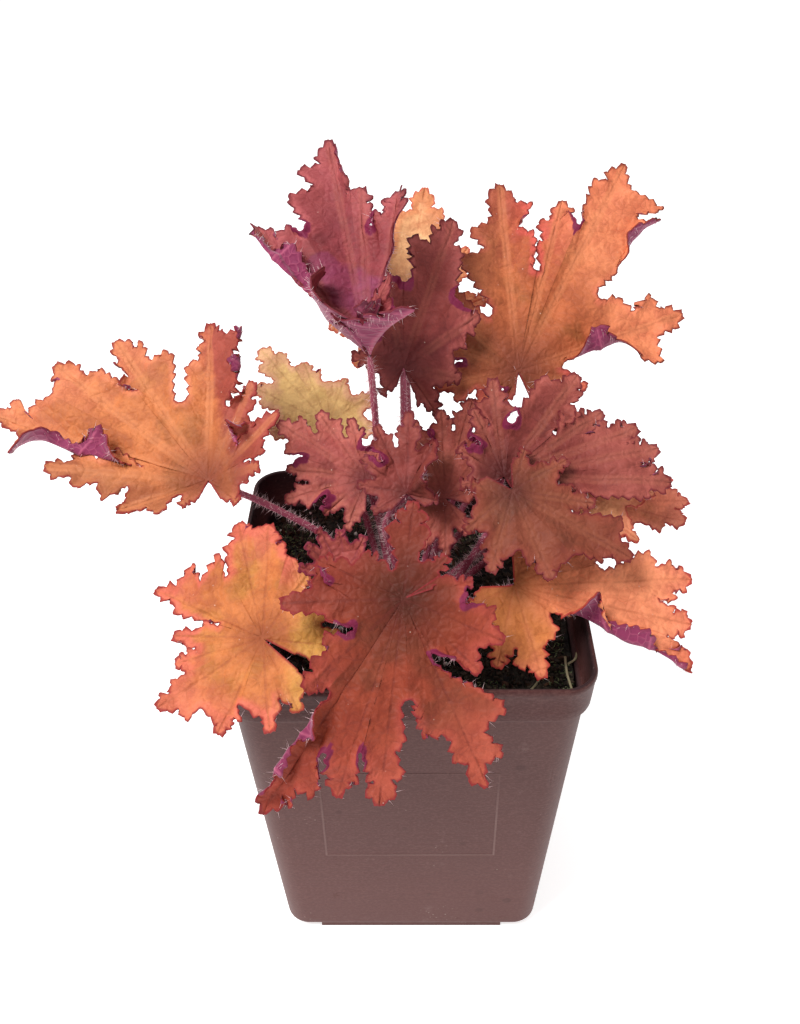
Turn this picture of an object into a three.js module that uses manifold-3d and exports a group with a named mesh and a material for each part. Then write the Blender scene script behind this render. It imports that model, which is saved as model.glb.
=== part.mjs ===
// A young heuchera in a square nursery pot: pot, soil, crown, and one mesh for each leaf with its stalk.
// Millimetres, +Z up, +X to the right and -Y to the front. The origin is the middle of the pot's foot.
import * as THREE from "three";
import { mergeVertices } from "three/addons/utils/BufferGeometryUtils.js";
import Module from "manifold-3d";

const wasm = await Module();
wasm.setup();

// ---------- driving dimensions ----------

const POT = {
  height: 140,
  rimHalf: 57.5,        // half the outer width at the top of the rim
  bandHalf: 56.5,       // the same at the lower edge of the rim band
  neckHalf: 54.9,       // half the wall's width just under the band
  baseHalf: 47,         // half the wall's width at the floor
  bandHeight: 13.7,
  wall: 1.6,
  floor: 2,
  footHalf: 34,         // half the width of each arm of the cross-shaped foot
  footReach: 46,
  footHeight: 2,
  rimCorner: 11,        // radius of the upright corners at the rim
  baseCorner: 8.5,
  cornerSteps: 5,
  rounding: 2.5,        // radius of the wall's turn into the floor
  lip: 0.6,             // height of the small bevel round the top
};
const PANEL = { width: 59, height: 48, centreZ: 74, line: 0.7, proud: 0.3 };
const DRAIN = { radius: 4.5, place: 27, sides: 12, depth: 12 };
const SOIL = { top: 124, swell: 0.8, swellReach: 30, ripple: 0.9, gap: 0.3 };
const SOIL_RINGS = [1, 0.84, 0.66, 0.48, 0.3];
const CROWN = { radius: 14.5, height: 17, sunk: 7, gap: 0.3, lumps: 0.08, sides: 10, rings: 6 };
const BLADE = { thickness: 0.8 };
const STALK = { radius: 1.35, rootRadius: 1.45, flare: 0.4, sides: 6, steps: 8 };

const RAD = Math.PI / 180;

// ---------- materials ----------

const PLASTIC = new THREE.MeshStandardMaterial({ color: 0x7a5c58, roughness: 0.5, metalness: 0 });
const MIX = new THREE.MeshStandardMaterial({ color: 0x1c1b18, roughness: 1, metalness: 0 });
const ROOTSTOCK = new THREE.MeshStandardMaterial({ color: 0x5b3a2c, roughness: 0.9, metalness: 0 });

function leafMaterial(colour) {
  return new THREE.MeshStandardMaterial({ color: colour, roughness: 0.6, metalness: 0 });
}

// ---------- solids ----------

// A closed triangle list becomes a solid.
function solidFrom(points, faces) {
  return new wasm.Manifold(new wasm.Mesh({
    numProp: 3,
    vertProperties: new Float32Array(points.flat()),
    triVerts: new Uint32Array(faces.flat()),
  }));
}

function solidFromGeometry(geometry) {
  const bare = geometry.clone();
  bare.deleteAttribute("normal");
  bare.deleteAttribute("uv");
  const merged = mergeVertices(bare, 1e-4);
  return new wasm.Manifold(new wasm.Mesh({
    numProp: 3,
    vertProperties: new Float32Array(merged.attributes.position.array),
    triVerts: new Uint32Array(merged.index.array),
  }));
}

function meshFromSolid(name, solid, material) {
  const made = solid.getMesh();
  const geometry = new THREE.BufferGeometry();
  const places = new Float32Array((made.vertProperties.length / made.numProp) * 3);
  for (let i = 0; i < places.length / 3; i += 1) {
    for (let axis = 0; axis < 3; axis += 1) {
      places[3 * i + axis] = made.vertProperties[made.numProp * i + axis];
    }
  }
  geometry.setAttribute("position", new THREE.BufferAttribute(places, 3));
  geometry.setIndex(new THREE.BufferAttribute(new Uint32Array(made.triVerts), 1));
  const mesh = new THREE.Mesh(geometry, material);
  mesh.name = name;
  return mesh;
}

// ---------- pot ----------

// One level ring of a square with rounded corners.
function squareRing(half, corner, z) {
  const ring = [];
  for (let quarter = 0; quarter < 4; quarter += 1) {
    const turn = quarter * 90 * RAD;
    for (let step = 0; step <= POT.cornerSteps; step += 1) {
      const angle = turn + (step / POT.cornerSteps) * 90 * RAD;
      const middle = half - corner;
      const x = Math.sign(Math.cos(turn + 45 * RAD)) * middle + corner * Math.cos(angle);
      const y = Math.sign(Math.sin(turn + 45 * RAD)) * middle + corner * Math.sin(angle);
      ring.push([x, y, z]);
    }
  }
  return ring;
}

// Rings of equal count are joined in order, and the first and last are closed at their middles.
function loftRings(rings, lastMiddle = rings[rings.length - 1][0][2]) {
  const count = rings[0].length;
  const points = rings.flat();
  const faces = [];
  for (let r = 0; r + 1 < rings.length; r += 1) {
    for (let i = 0; i < count; i += 1) {
      const a = r * count + i;
      const b = r * count + ((i + 1) % count);
      faces.push([a, b, b + count], [a, b + count, a + count]);
    }
  }
  const first = points.length;
  points.push([0, 0, rings[0][0][2]], [0, 0, lastMiddle]);
  const lastRing = (rings.length - 1) * count;
  for (let i = 0; i < count; i += 1) {
    const next = (i + 1) % count;
    faces.push([first, next, i], [first + 1, lastRing + i, lastRing + next]);
  }
  return solidFrom(points, faces);
}

// Half width and corner radius of the outer wall at a height under the band.
function wallAt(z) {
  const share = (z - POT.footHeight) / (POT.height - POT.bandHeight - POT.footHeight);
  return {
    half: POT.baseHalf + (POT.neckHalf - POT.baseHalf) * share,
    corner: POT.baseCorner + (POT.rimCorner - 1 - POT.baseCorner) * share,
  };
}

function potSolid() {
  const foot = POT.footHeight;
  const step = POT.height - POT.bandHeight;
  const rounding = POT.rounding;
  const low = wallAt(foot + rounding);
  const high = wallAt(step - 1);
  const inLow = wallAt(foot + POT.floor + rounding);
  const wall = POT.wall;
  return loftRings([
    squareRing(low.half - rounding, low.corner - 2, foot),
    squareRing(low.half - 0.9, low.corner, foot + 0.9),
    squareRing(low.half, low.corner, foot + rounding),
    squareRing(high.half, high.corner, step - 1),
    squareRing(POT.bandHalf, POT.rimCorner, step),
    squareRing(POT.rimHalf - 0.1, POT.rimCorner, POT.height - POT.lip),
    squareRing(POT.rimHalf - POT.lip, POT.rimCorner - 0.5, POT.height),
    squareRing(POT.rimHalf - wall, POT.rimCorner - wall, POT.height),
    squareRing(POT.bandHalf - wall, POT.rimCorner - wall, step + 1),
    squareRing(high.half - wall, high.corner - wall, step - 1),
    squareRing(inLow.half - wall, inLow.corner - wall, foot + POT.floor + rounding),
    squareRing(inLow.half - wall - rounding, inLow.corner - wall - 2, foot + POT.floor),
  ]);
}

// The pot stands on a low cross that reaches the middle of each side.
function footCross() {
  const a = POT.footHalf;
  const b = POT.footReach;
  const cross = new THREE.Shape([
    [-a, -b], [a, -b], [a, -a], [b, -a], [b, a], [a, a], [a, b], [-a, b], [-a, a], [-b, a],
    [-b, -a], [-a, -a],
  ].map(([x, y]) => new THREE.Vector2(x, y)));
  const plate = new THREE.ExtrudeGeometry(cross, {
    depth: POT.footHeight + 0.5, bevelEnabled: false });
  return solidFromGeometry(plate);
}

// The thin raised rectangle on the front wall follows the wall's slope.
function panelFrame() {
  const slope = (POT.neckHalf - POT.baseHalf) / (POT.height - POT.bandHeight - POT.footHeight);
  const outer = new THREE.Shape();
  const w = PANEL.width / 2;
  const h = PANEL.height / 2;
  outer.moveTo(-w, -h).lineTo(w, -h).lineTo(w, h).lineTo(-w, h).lineTo(-w, -h);
  const inner = new THREE.Path();
  const a = w - PANEL.line;
  const b = h - PANEL.line;
  inner.moveTo(-a, -b).lineTo(-a, b).lineTo(a, b).lineTo(a, -b).lineTo(-a, -b);
  outer.holes.push(inner);
  const sunk = 0.5;
  const frame = new THREE.ExtrudeGeometry(outer, { depth: PANEL.proud + sunk, bevelEnabled: false });
  frame.rotateX(90 * RAD + Math.atan(slope));
  frame.translate(0, -(wallAt(PANEL.centreZ).half - sunk), PANEL.centreZ);
  return solidFromGeometry(frame);
}

function drainHole(x, y) {
  const bore = new THREE.CylinderGeometry(DRAIN.radius, DRAIN.radius, DRAIN.depth, DRAIN.sides);
  bore.rotateX(90 * RAD);
  bore.translate(x, y, POT.footHeight);
  return solidFromGeometry(bore);
}

function makePot() {
  let pot = potSolid().add(footCross()).add(panelFrame());
  for (const [sx, sy] of [[1, 1], [-1, 1], [-1, -1], [1, -1]]) {
    pot = pot.subtract(drainHole(sx * DRAIN.place, sy * DRAIN.place));
  }
  return pot;
}

// ---------- blades ----------

// Angles in a blade are measured clockwise, as seen from above it, from the direction that leads
// up and to the back of the plant.
const UPHILL = new THREE.Vector3(0, 0.6, 0.8);

// A side of a lobe runs from the sinus over one or two crests, each with a notch after it, to the
// shoulder and the tip.
const SHOULDER = { share: 0.93, past: 0.6, reach: 0.075, least: 1.5, most: 4.6 };
const NOTCH = { along: 0.3, depth: 0.55, near: 0.6 };
const BASAL = { turn: 20, reach: 0.6 };
const PALM_SHARE = 0.55;
const VEIN = { lean: 0.55, palmLean: 0.25, least: 0.1, gap: 0.025 };
const CREST_GAP = 0.03;
const LATE_CREST = 0.5;
// A rolled margin reaches its full turn over a share of the lobe past its sinus.
const ROLL = { radius: 1.3, grows: 0.18, creaseLeast: 0.3, creaseMost: 0.8, toTip: 2 };
const PLAIN_CRESTS = { 1: [0.5], 2: [0.35, 0.68] };
const PLAIN_REACH = { least: 0.05, grows: 0.34, power: 0.8 };

function bladeFrame(faces) {
  const [turn, rise] = faces.map((angle) => angle * RAD);
  const up = new THREE.Vector3(
    Math.sin(turn) * Math.cos(rise), -Math.cos(turn) * Math.cos(rise), Math.sin(rise));
  const ahead = UPHILL.clone().addScaledVector(up, -UPHILL.dot(up)).normalize();
  return { up, ahead, right: ahead.clone().cross(up) };
}

function polar(angle, reach) {
  return [reach * Math.sin(angle * RAD), reach * Math.cos(angle * RAD)];
}

// The crests of one side of a lobe, as [share of its length, reach from the midrib] pairs. A lobe
// that states none has two low ones, set by its free length past the sinus.
function crestsOf(lobe, sinusShare, stated, count) {
  if (stated.length) {
    return stated.map(([percent, reach]) => [percent / 100, reach]).slice(0, count);
  }
  const free = 1 - sinusShare;
  return PLAIN_CRESTS[count].map((at) => [
    sinusShare + free * at,
    lobe.length * (PLAIN_REACH.least + PLAIN_REACH.grows * (free * (1 - at)) ** PLAIN_REACH.power),
  ]);
}

// The margin of one side of a lobe, from the sinus to the tip, as [share, reach] pairs.
function marginOf(lobe, sinus, stated, count) {
  const [tipX, tipY] = polar(lobe.angle, 1);
  const start = [
    (sinus[0] * tipX + sinus[1] * tipY) / lobe.length,
    Math.abs(sinus[0] * tipY - sinus[1] * tipX),
  ];
  const tipReach = Math.min(Math.max(SHOULDER.reach * lobe.length, SHOULDER.least), SHOULDER.most);
  const shoulder = [
    Math.max(SHOULDER.share, start[0] + SHOULDER.past * (1 - start[0])),
    Math.min(tipReach, start[1]),
  ];
  const crests = crestsOf(lobe, start[0], stated, count)
    .filter(([share]) => share > start[0] + CREST_GAP && share < shoulder[0]);
  const knots = [];
  crests.forEach(([share, reach], i) => {
    const next = crests[i + 1] || shoulder;
    knots.push([share, reach]);
    knots.push([
      share + NOTCH.along * (next[0] - share),
      NOTCH.depth * (reach * NOTCH.near + next[1] * (1 - NOTCH.near)),
    ]);
  });
  // A side with one crest gets its missing points where its margin runs on straight.
  const between = (from, to, t) => [from[0] + t * (to[0] - from[0]), from[1] + t * (to[1] - from[1])];
  while (knots.length < 2 * count) {
    const late = knots.length && knots[0][0] - start[0] > LATE_CREST * (1 - start[0]);
    if (late) {
      knots.unshift(between(start, knots[0], 2 / 3));
      knots.unshift(between(start, knots[0], 1 / 2));
    } else {
      const last = knots[knots.length - 1] || start;
      knots.push(between(last, shoulder, 1 / 3), between(last, shoulder, 2 / 3));
    }
  }
  return [start, ...knots, shoulder, [1, 0]];
}

function marginPoints(lobe, margin, side) {
  const [tipX, tipY] = polar(lobe.angle, 1);
  return margin.map(([share, reach]) => [
    lobe.length * share * tipX + side * reach * tipY,
    lobe.length * share * tipY - side * reach * tipX,
  ]);
}

// The vein to each margin point leaves the midrib nearer to the stalk than the point lies.
function veinShares(lobe, left, right) {
  const shares = [];
  const rows = left.length;
  for (let row = 0; row < rows; row += 1) {
    const share = (left[row][0] + right[row][0]) / 2;
    const reach = (left[row][1] + right[row][1]) / 2;
    const lean = row === 0 ? VEIN.palmLean * share : (VEIN.lean * reach) / lobe.length;
    const least = row === 0 ? VEIN.least : shares[row - 1] + VEIN.gap;
    const most = 1 - VEIN.gap * (rows - 1 - row);
    shares.push(Math.min(Math.max(share - lean, least), most));
  }
  return shares;
}

// Lift and curl of the blade in any direction, straight between one lobe's midrib and the next.
function bendAt(lobes, x, y) {
  const first = lobes[0];
  const last = lobes[lobes.length - 1];
  let angle = Math.atan2(x, y) / RAD;
  const middleOfGap = (first.angle + last.angle) / 2 - 180;
  while (angle < middleOfGap) {
    angle += 360;
  }
  while (angle > middleOfGap + 360) {
    angle -= 360;
  }
  if (angle <= first.angle) {
    return [first.lift, first.curl];
  }
  for (let i = 1; i < lobes.length; i += 1) {
    if (angle <= lobes[i].angle) {
      const span = lobes[i].angle - lobes[i - 1].angle;
      const t = (angle - lobes[i - 1].angle) / span;
      return [
        lobes[i - 1].lift * (1 - t) + lobes[i].lift * t,
        lobes[i - 1].curl * (1 - t) + lobes[i].curl * t,
      ];
    }
  }
  return [last.lift, last.curl];
}

// A flat point rises by its lobe's lift, which turns by its curl over the blade's radius.
// The height above the blade stands square to the bent surface.
function bendPoint(leaf, x, y, height) {
  const reach = Math.hypot(x, y);
  if (reach < 1e-6) {
    return [0, 0, height];
  }
  const [lift, curl] = bendAt(leaf.lobes, x, y);
  const start = lift * RAD;
  const rate = (curl * RAD) / leaf.radius;
  const end = start + rate * reach;
  const straight = Math.abs(rate) < 1e-6;
  const along = straight ? reach * Math.cos(start) : (Math.sin(end) - Math.sin(start)) / rate;
  const rise = straight ? reach * Math.sin(start) : (Math.cos(start) - Math.cos(end)) / rate;
  const out = along - height * Math.sin(end);
  return [(out * x) / reach, (out * y) / reach, rise + height * Math.cos(end)];
}

// A margin that is rolled up follows an arc of the roll's radius, then goes straight on.
function rollAcross(offset, start, turn) {
  const { radius } = ROLL;
  const past = offset - start;
  if (past <= 0 || turn <= 0) {
    return [offset, 0];
  }
  const arc = radius * turn * RAD;
  const angle = Math.min(past / radius, turn * RAD);
  const rest = Math.max(past - arc, 0);
  return [
    start + radius * Math.sin(angle) + rest * Math.cos(angle),
    radius * (1 - Math.cos(angle)) + rest * Math.sin(angle),
  ];
}

// A place on a lobe: a share `across` from the midrib to one side's margin, on row `row`.
function lobePoint(lobe, side, row, across) {
  const [tipX, tipY] = polar(lobe.angle, 1);
  const margin = lobe.sides[side < 0 ? 0 : 1][row];
  const ribAt = lobe.length * lobe.veins[row];
  return [
    ribAt * tipX * (1 - across) + margin[0] * across,
    ribAt * tipY * (1 - across) + margin[1] * across,
  ];
}

function flatArea([ax, ay], [bx, by], [cx, cy]) {
  return ((bx - ax) * (cy - ay) - (by - ay) * (cx - ax)) / 2;
}

// A four-sided patch is cut along the diagonal that leaves the larger of the two smaller halves.
function splitPatch(flat, side, [a, b, c, d]) {
  const area = (p, q, r) => -side * flatArea(flat[p], flat[q], flat[r]);
  const first = Math.min(area(a, d, b), area(b, d, c));
  const second = Math.min(area(a, d, c), area(a, c, b));
  return first >= second ? [[a, d, b], [b, d, c]] : [[a, d, c], [a, c, b]];
}

// Fold, ripple and rolled margins are heights over the flat blade, and the bend comes last.
function placeOnLobe(leaf, lobe, side, x, y) {
  const [tipX, tipY] = polar(lobe.angle, 1);
  const along = x * tipX + y * tipY;
  const offset = Math.abs(x * tipY - y * tipX);
  const [start, turn, until] = side < 0 ? lobe.rollLeft : lobe.rollRight;
  const share = along / lobe.length;
  const into = Math.min(share - lobe.starts[side < 0 ? 0 : 1], until - share);
  const grown = Math.min(Math.max(into / ROLL.grows, 0), 1);
  const [across, lifted] = rollAcross(offset, start, turn * grown);
  const px = along * tipX + side * across * tipY;
  const py = along * tipY - side * across * tipX;
  const angle = Math.atan2(x, y);
  const reach = Math.hypot(x, y) / leaf.radius;
  const ripple = leaf.ripple * reach * reach * Math.sin(leaf.waves * angle + leaf.phase);
  return bendPoint(leaf, px, py, lifted + leaf.fold * offset + ripple);
}

// The blade's middle surface: triangles from the stalk out to every lobe's tip. A side that is
// rolled has one more column of points between the midrib and the margin.
function bladeSurface(leaf) {
  const points = [bendPoint(leaf, 0, 0, 0)];
  const flat = [[0, 0]];
  const faces = [];
  const rows = 3 + 2 * leaf.crests;
  const keep = (lobe, side, [x, y]) => {
    flat.push([x, y]);
    return points.push(placeOnLobe(leaf, lobe, side, x, y)) - 1;
  };
  let shared = null;
  leaf.lobes.forEach((lobe) => {
    const [tipX, tipY] = polar(lobe.angle, 1);
    const ribAt = lobe.length * lobe.veins[0] * PALM_SHARE;
    const palmRib = keep(lobe, 1, [ribAt * tipX, ribAt * tipY]);
    const ribs = [];
    for (let row = 0; row < rows; row += 1) {
      ribs.push(keep(lobe, 1, lobePoint(lobe, 1, row, 0)));
    }
    [-1, 1].forEach((side) => {
      const mine = side < 0 ? shared : null;
      const [sinusX, sinusY] = lobe.sides[side < 0 ? 0 : 1][0];
      const palmEdge = mine ? mine.palm
        : keep(lobe, side, [sinusX * PALM_SHARE, sinusY * PALM_SHARE]);
      const [creaseAt, turn] = side < 0 ? lobe.rollLeft : lobe.rollRight;
      const margin = lobe.sides[side < 0 ? 0 : 1];
      const shareAt = (row) => {
        const reach = Math.abs(margin[row][0] * tipY - margin[row][1] * tipX);
        const share = (creaseAt + ROLL.radius) / Math.max(reach, ROLL.radius);
        return Math.min(Math.max(share, ROLL.creaseLeast), ROLL.creaseMost);
      };
      const columns = (turn > 0 ? [shareAt, () => 1] : [() => 1]).map((acrossAt) => {
        const column = [];
        for (let row = 0; row + 1 < rows; row += 1) {
          const across = acrossAt(row);
          const met = row === 0 && across === 1 && mine;
          column.push(met ? mine.rim : keep(lobe, side, lobePoint(lobe, side, row, across)));
        }
        return [...column, ribs[rows - 1]];
      });
      columns.unshift(ribs);
      const face = (a, b, c) => faces.push(side < 0 ? [a, b, c] : [a, c, b]);
      face(0, palmRib, palmEdge);
      face(palmEdge, palmRib, ribs[0]);
      for (let i = 0; i + 1 < columns.length; i += 1) {
        face(palmEdge, columns[i][0], columns[i + 1][0]);
        for (let row = 0; row + 1 < rows; row += 1) {
          const [a, d] = [columns[i][row], columns[i][row + 1]];
          const [b, c] = [columns[i + 1][row], columns[i + 1][row + 1]];
          if (c === d) {
            face(a, d, b);
          } else {
            splitPatch(flat, side, [a, b, c, d]).forEach((triangle) => face(...triangle));
          }
        }
      }
      shared = { rim: columns[columns.length - 1][0], palm: palmEdge };
    });
  });
  return { points, faces };
}

// The blade's two faces are alike, half its thickness to either side, with a wall between them.
function thicken(surface, thickness) {
  const at = surface.points.map((place) => new THREE.Vector3(...place));
  const normals = at.map(() => new THREE.Vector3());
  surface.faces.forEach(([a, b, c]) => {
    const normal = at[b].clone().sub(at[a]).cross(at[c].clone().sub(at[a]));
    [a, b, c].forEach((i) => normals[i].add(normal));
  });
  const count = at.length;
  const points = [];
  [0.5, -0.5].forEach((way) => at.forEach((place, i) => {
    points.push(place.clone().addScaledVector(normals[i].clone().normalize(), way * thickness).toArray());
  }));
  const faces = [];
  const open = new Map();
  surface.faces.forEach(([a, b, c]) => {
    faces.push([a, b, c], [count + a, count + c, count + b]);
    [[a, b], [b, c], [c, a]].forEach(([from, to]) => {
      if (open.has(`${to}_${from}`)) {
        open.delete(`${to}_${from}`);
      } else {
        open.set(`${from}_${to}`, [from, to]);
      }
    });
  });
  open.forEach(([from, to]) => {
    faces.push([from, count + from, count + to], [from, count + to, to]);
  });
  return { points, faces };
}

// ---------- stalks ----------

// A stalk leaves the crown, bends through its middle point and ends under its blade.
function stalkCurve(leaf) {
  const root = new THREE.Vector3(...rootPlace(leaf.root));
  const end = new THREE.Vector3(...leaf.joint);
  const via = leaf.via.map((place) => new THREE.Vector3(...place));
  return new THREE.CatmullRomCurve3([root, ...via, end], false, "centripetal");
}

function stalkSolid(curve, radius, rootRadius, grown = 0) {
  const points = [];
  const faces = [];
  const { sides, steps } = STALK;
  const across = new THREE.Vector3(1, 0, 0);
  for (let step = 0; step <= steps; step += 1) {
    const t = step / steps;
    const place = curve.getPointAt(t);
    const along = curve.getTangentAt(t);
    const u = across.clone().addScaledVector(along, -across.dot(along)).normalize();
    const v = along.clone().cross(u);
    const size = rootRadius + (radius - rootRadius) * Math.min(1, t / STALK.flare) + grown;
    if (step === 0) {
      place.addScaledVector(along, -grown);
    }
    for (let side = 0; side < sides; side += 1) {
      const turn = (side / sides) * 2 * Math.PI;
      points.push(place.clone().addScaledVector(u, size * Math.cos(turn))
        .addScaledVector(v, size * Math.sin(turn)).toArray());
    }
  }
  for (let step = 0; step < steps; step += 1) {
    for (let side = 0; side < sides; side += 1) {
      const a = step * sides + side;
      const b = step * sides + ((side + 1) % sides);
      faces.push([a, b, b + sides], [a, b + sides, a + sides]);
    }
  }
  for (let side = 1; side + 1 < sides; side += 1) {
    faces.push([0, side + 1, side]);
    faces.push([steps * sides, steps * sides + side, steps * sides + side + 1]);
  }
  return solidFrom(points, faces);
}

// ---------- the leaf chart ----------

// Each lobe: its angle and length, the [angle, reach] of the sinus after it, its [lift, curl], the
// crests of its left and right margins as [percent of its length, reach from the midrib], and the
// roll of either margin.
const LEAVES = [
  {
    name: "leaf_top_right", colour: 0xc0693f, joint: [37, 36, 194], faces: [12, 50],
    root: ["inner", 112], via: [[13, 14, 150], [27, 26, 178]],
    lobes: [
      [-150, 14, [-140, 9]],
      [-130, 20, [-114, 16]],
      [-101, 29, [-82, 19], 0, [[78, 7]], [[82, 5]]],
      [-68, 31, [-52, 23]],
      [-46, 41, [-25, 21], 0, [[70, 4]], [[88, 7]]],
      [-2, 69, [13, 37], 0, [[58, 18], [74, 12]], [[72, 10], [88, 10]]],
      [17, 66, [24, 58], 0, [[70, 5], [84, 6]], [[92, 5]]],
      [29, 89, [48, 39], 0, [[87, 7]], [[78, 23], [89, 19]], { rollRight: [14, 120, 0.88] }],
      [70, 63, [84, 15], 0, [[69, 13], [87, 10]], [[46, 11], [74, 14]], { rollRight: [1, 150, 0.64] }],
      [103, 24, [122, 14]],
      [140, 20, [160, 10]],
    ],
  },
  {
    name: "leaf_left", colour: 0xcc6f3e, joint: [-63, 0, 176], faces: [-10, 58],
    root: ["outer", -95], via: [[-24, 2, 148], [-44, 2, 164]],
    lobes: [
      [-150, 14, [-132, 10], [20, 60]],
      [-113, 30, [-100, 25], [6, 0], [[60, 9]]],
      [-88, 52, [-79, 22], [10, 0], [[62, 9], [80, 6]], [[60, 9], [84, 7]]],
      [-74, 79, [-62, 62], [0, 8], [[48, 16], [76, 14]], [[82, 9], [91, 8]], { rollLeft: [3, 150, 0.8] }],
      [-54, 68, [-41, 41], [0, 8], [], [[81, 8]]],
      [-36, 62, [-22, 29], [0, 8], [[74, 7], [86, 5]], [[74, 13], [89, 7]], { rollLeft: [3, 140] }],
      [-4, 56, [13, 25], [0, 8], [[73, 8], [88, 5]], [[68, 18], [87, 16]], { rollRight: [11, 130] }],
      [24, 35, [40, 15], [10, 15], [], [], { rollLeft: [1, 150] }],
      [52, 32, [72, 14], [14, 20], [[58, 14]], [[62, 8]], { rollLeft: [5, 140] }],
      [84, 20, [104, 12], [20, 20]],
      [125, 13, [145, 8]],
    ],
  },
  {
    name: "leaf_lower_left", colour: 0xd07848, joint: [-43, -45, 150], faces: [-20, 62],
    root: ["outer", -62], via: [[-20, -14, 133], [-34, -30, 143]],
    lobes: [
      [148, 26, [157, 20], 0, [[80, 6]], [[80, 3]]],
      [168, 29, [192, 21], 0, [[80, 4]], [[80, 4]]],
      [198, 31, [214, 27]],
      [232, 37, [242, 25], 0, [[84, 8]], [[80, 5]]],
      [252, 28, [260, 21]],
      [271, 29, [286, 15], 0, [[82, 4]], [[65, 5]]],
      [292, 40, [324, 24], 0, [[74, 4]], [[64, 18], [82, 12]]],
      [340, 42, [347, 37], 0, [[80, 5]], []],
      [355, 38, [370, 27]],
      [388, 24, [404, 18]],
      [420, 24, [434, 18]],
      [452, 29, [474, 11], [-10, 0], [], [[86, 7]]],
    ],
  },
  {
    name: "leaf_front", colour: 0xa3432f, joint: [-1, -43, 164], faces: [0, 42],
    root: ["outer", 0], via: [[0, -17, 142], [-1, -30, 157]],
    lobes: [
      [77, 21, [94, 18]],
      [113, 32, [124, 26], 0, [[80, 8]]],
      [134, 31, [153, 18], 0, [], [], { rollRight: [1.5, 150] }],
      [156, 60, [177, 29], [0, -12], [[67, 14], [87, 8]], [[64, 11], [82, 6]]],
      [187, 61, [196, 46], [0, -12], [[68, 5], [84, 6]], [[88, 4]]],
      [199, 62, [207, 50], [0, -12], [[90, 4]], [[90, 6]]],
      [214, 76, [221, 34], [0, -12], [[82, 10], [91, 6]], [[62, 9], [80, 7]], { rollRight: [2, 150] }],
      [228, 39, [240, 17], [8, 0]],
      [268, 36, [283, 23], [8, 0], [[55, 9]], [[68, 10]], { rollLeft: [5, 130] }],
      [294, 28, [305, 18]],
      [320, 18, [338, 9]],
      [366, 29, [386, 12], 0, [[72, 7], [87, 5]], [[72, 6], [87, 5]]],
      [406, 18, [432, 9]],
    ],
  },
  {
    name: "leaf_top_left", colour: 0x9c4347, joint: [-11, 10, 215], faces: [-20, 50],
    root: ["inner", -113], via: [[-9, 14, 150], [-10, 17, 185]],
    lobes: [
      [-140, 31, [-118, 21], [115, 60]],
      [-92, 36, [-70, 19], [112, 60]],
      [-43, 56, [-30, 46], [8, 0], [[42, 18], [74, 11]], [[88, 9]], { rollLeft: [0.5, 155] }],
      [-14, 78, [-10, 57], 0, [[74, 15], [86, 11]], [[82, 5]], { rollRight: [1, 150] }],
      [-6, 57, [-2, 42], 0, [], [[88, 3]]],
      [7, 55, [16, 24], 0, [], [[88, 5]]],
      [55, 30, [80, 14], [70, 60]],
      [106, 28, [126, 12], [90, 50]],
      [144, 22, [158, 10], [90, 60]],
    ],
  },
  {
    name: "leaf_top_mid", colour: 0x85332f, joint: [-1, 22, 204], faces: [15, 50],
    root: ["inner", -158], via: [[-1, 12, 150], [-1, 18, 185]],
    lobes: [
      [-140, 12, [-112, 9]],
      [-85, 18, [-45, 13], [15, 20]],
      [-12, 33, [0, 27], [10, 10]],
      [20, 55, [38, 29], 0, [[74, 12], [87, 6]], [[82, 6]]],
      [54, 32, [72, 17]],
      [95, 20, [112, 12], [-10, -10]],
      [130, 22, [150, 9], [-35, -20]],
    ],
  },
  {
    name: "leaf_back_pale", colour: 0xdf9560, joint: [-2, 55, 200], faces: [5, 50],
    root: ["inner", 157], via: [[1, 22, 150], [0, 42, 185]], crests: 1,
    lobes: [
      [-129, 21, [-108, 15]],
      [-86, 25, [-62, 18]],
      [-40, 36, [-15, 27]],
      [10, 54, [28, 30], 0, [[78, 8]], [[84, 8]]],
      [38, 39, [54, 24]],
      [69, 33, [92, 17]],
      [115, 20, [135, 12]],
      [155, 16, [170, 9]],
    ],
  },
  {
    name: "leaf_back_left", colour: 0xb89a55, joint: [-28, 45, 168], faces: [-15, 60],
    root: ["outer", -128], via: [[-14, 20, 142], [-22, 36, 160]], crests: 1,
    lobes: [
      [-130, 18, [-112, 13]],
      [-95, 26, [-79, 19]],
      [-62, 34, [-52, 28]],
      [-42, 43, [-32, 28]],
      [-24, 29, [-8, 17]],
      [15, 19, [34, 14]],
      [51, 21, [75, 13]],
      [100, 20, [125, 12]],
      [150, 16, [165, 9]],
    ],
  },
  {
    name: "leaf_centre_left", colour: 0xa84d44, joint: [-13, 7, 171], faces: [-8, 50],
    root: ["inner", -68], via: [[-8, 5, 145], [-11, 9, 160]], crests: 1,
    lobes: [
      [-160, 18, [-143, 12]],
      [-128, 18, [-115, 14]],
      [-103, 28, [-93, 19]],
      [-81, 27, [-71, 22]],
      [-57, 36, [-47, 23], 0, [[78, 7]], [[84, 6]]],
      [-36, 29, [-26, 16]],
      [-16, 22, [-3, 11]],
      [22, 12, [42, 9]],
      [62, 14, [88, 9]],
      [115, 14, [140, 9]],
    ],
  },
  {
    name: "leaf_centre_mid", colour: 0x8a4537, joint: [0, -9, 177], faces: [0, 45],
    root: ["inner", -23], via: [[-4, -6, 145], [-7, -5, 162]], crests: 1,
    lobes: [
      [-118, 12, [-98, 9]],
      [-78, 16, [-64, 11]],
      [-50, 18, [-38, 13]],
      [-24, 24, [-12, 15]],
      [2, 26, [14, 14]],
      [28, 19, [44, 11]],
      [62, 14, [82, 9], [50, 60]],
      [105, 11, [130, 8], [20, 0]],
    ],
  },
  {
    name: "leaf_centre", colour: 0x8f4338, joint: [12, -2, 170], faces: [5, 46],
    root: ["inner", 22], via: [[5, -7, 145], [9, -4, 162]], crests: 1,
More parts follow.
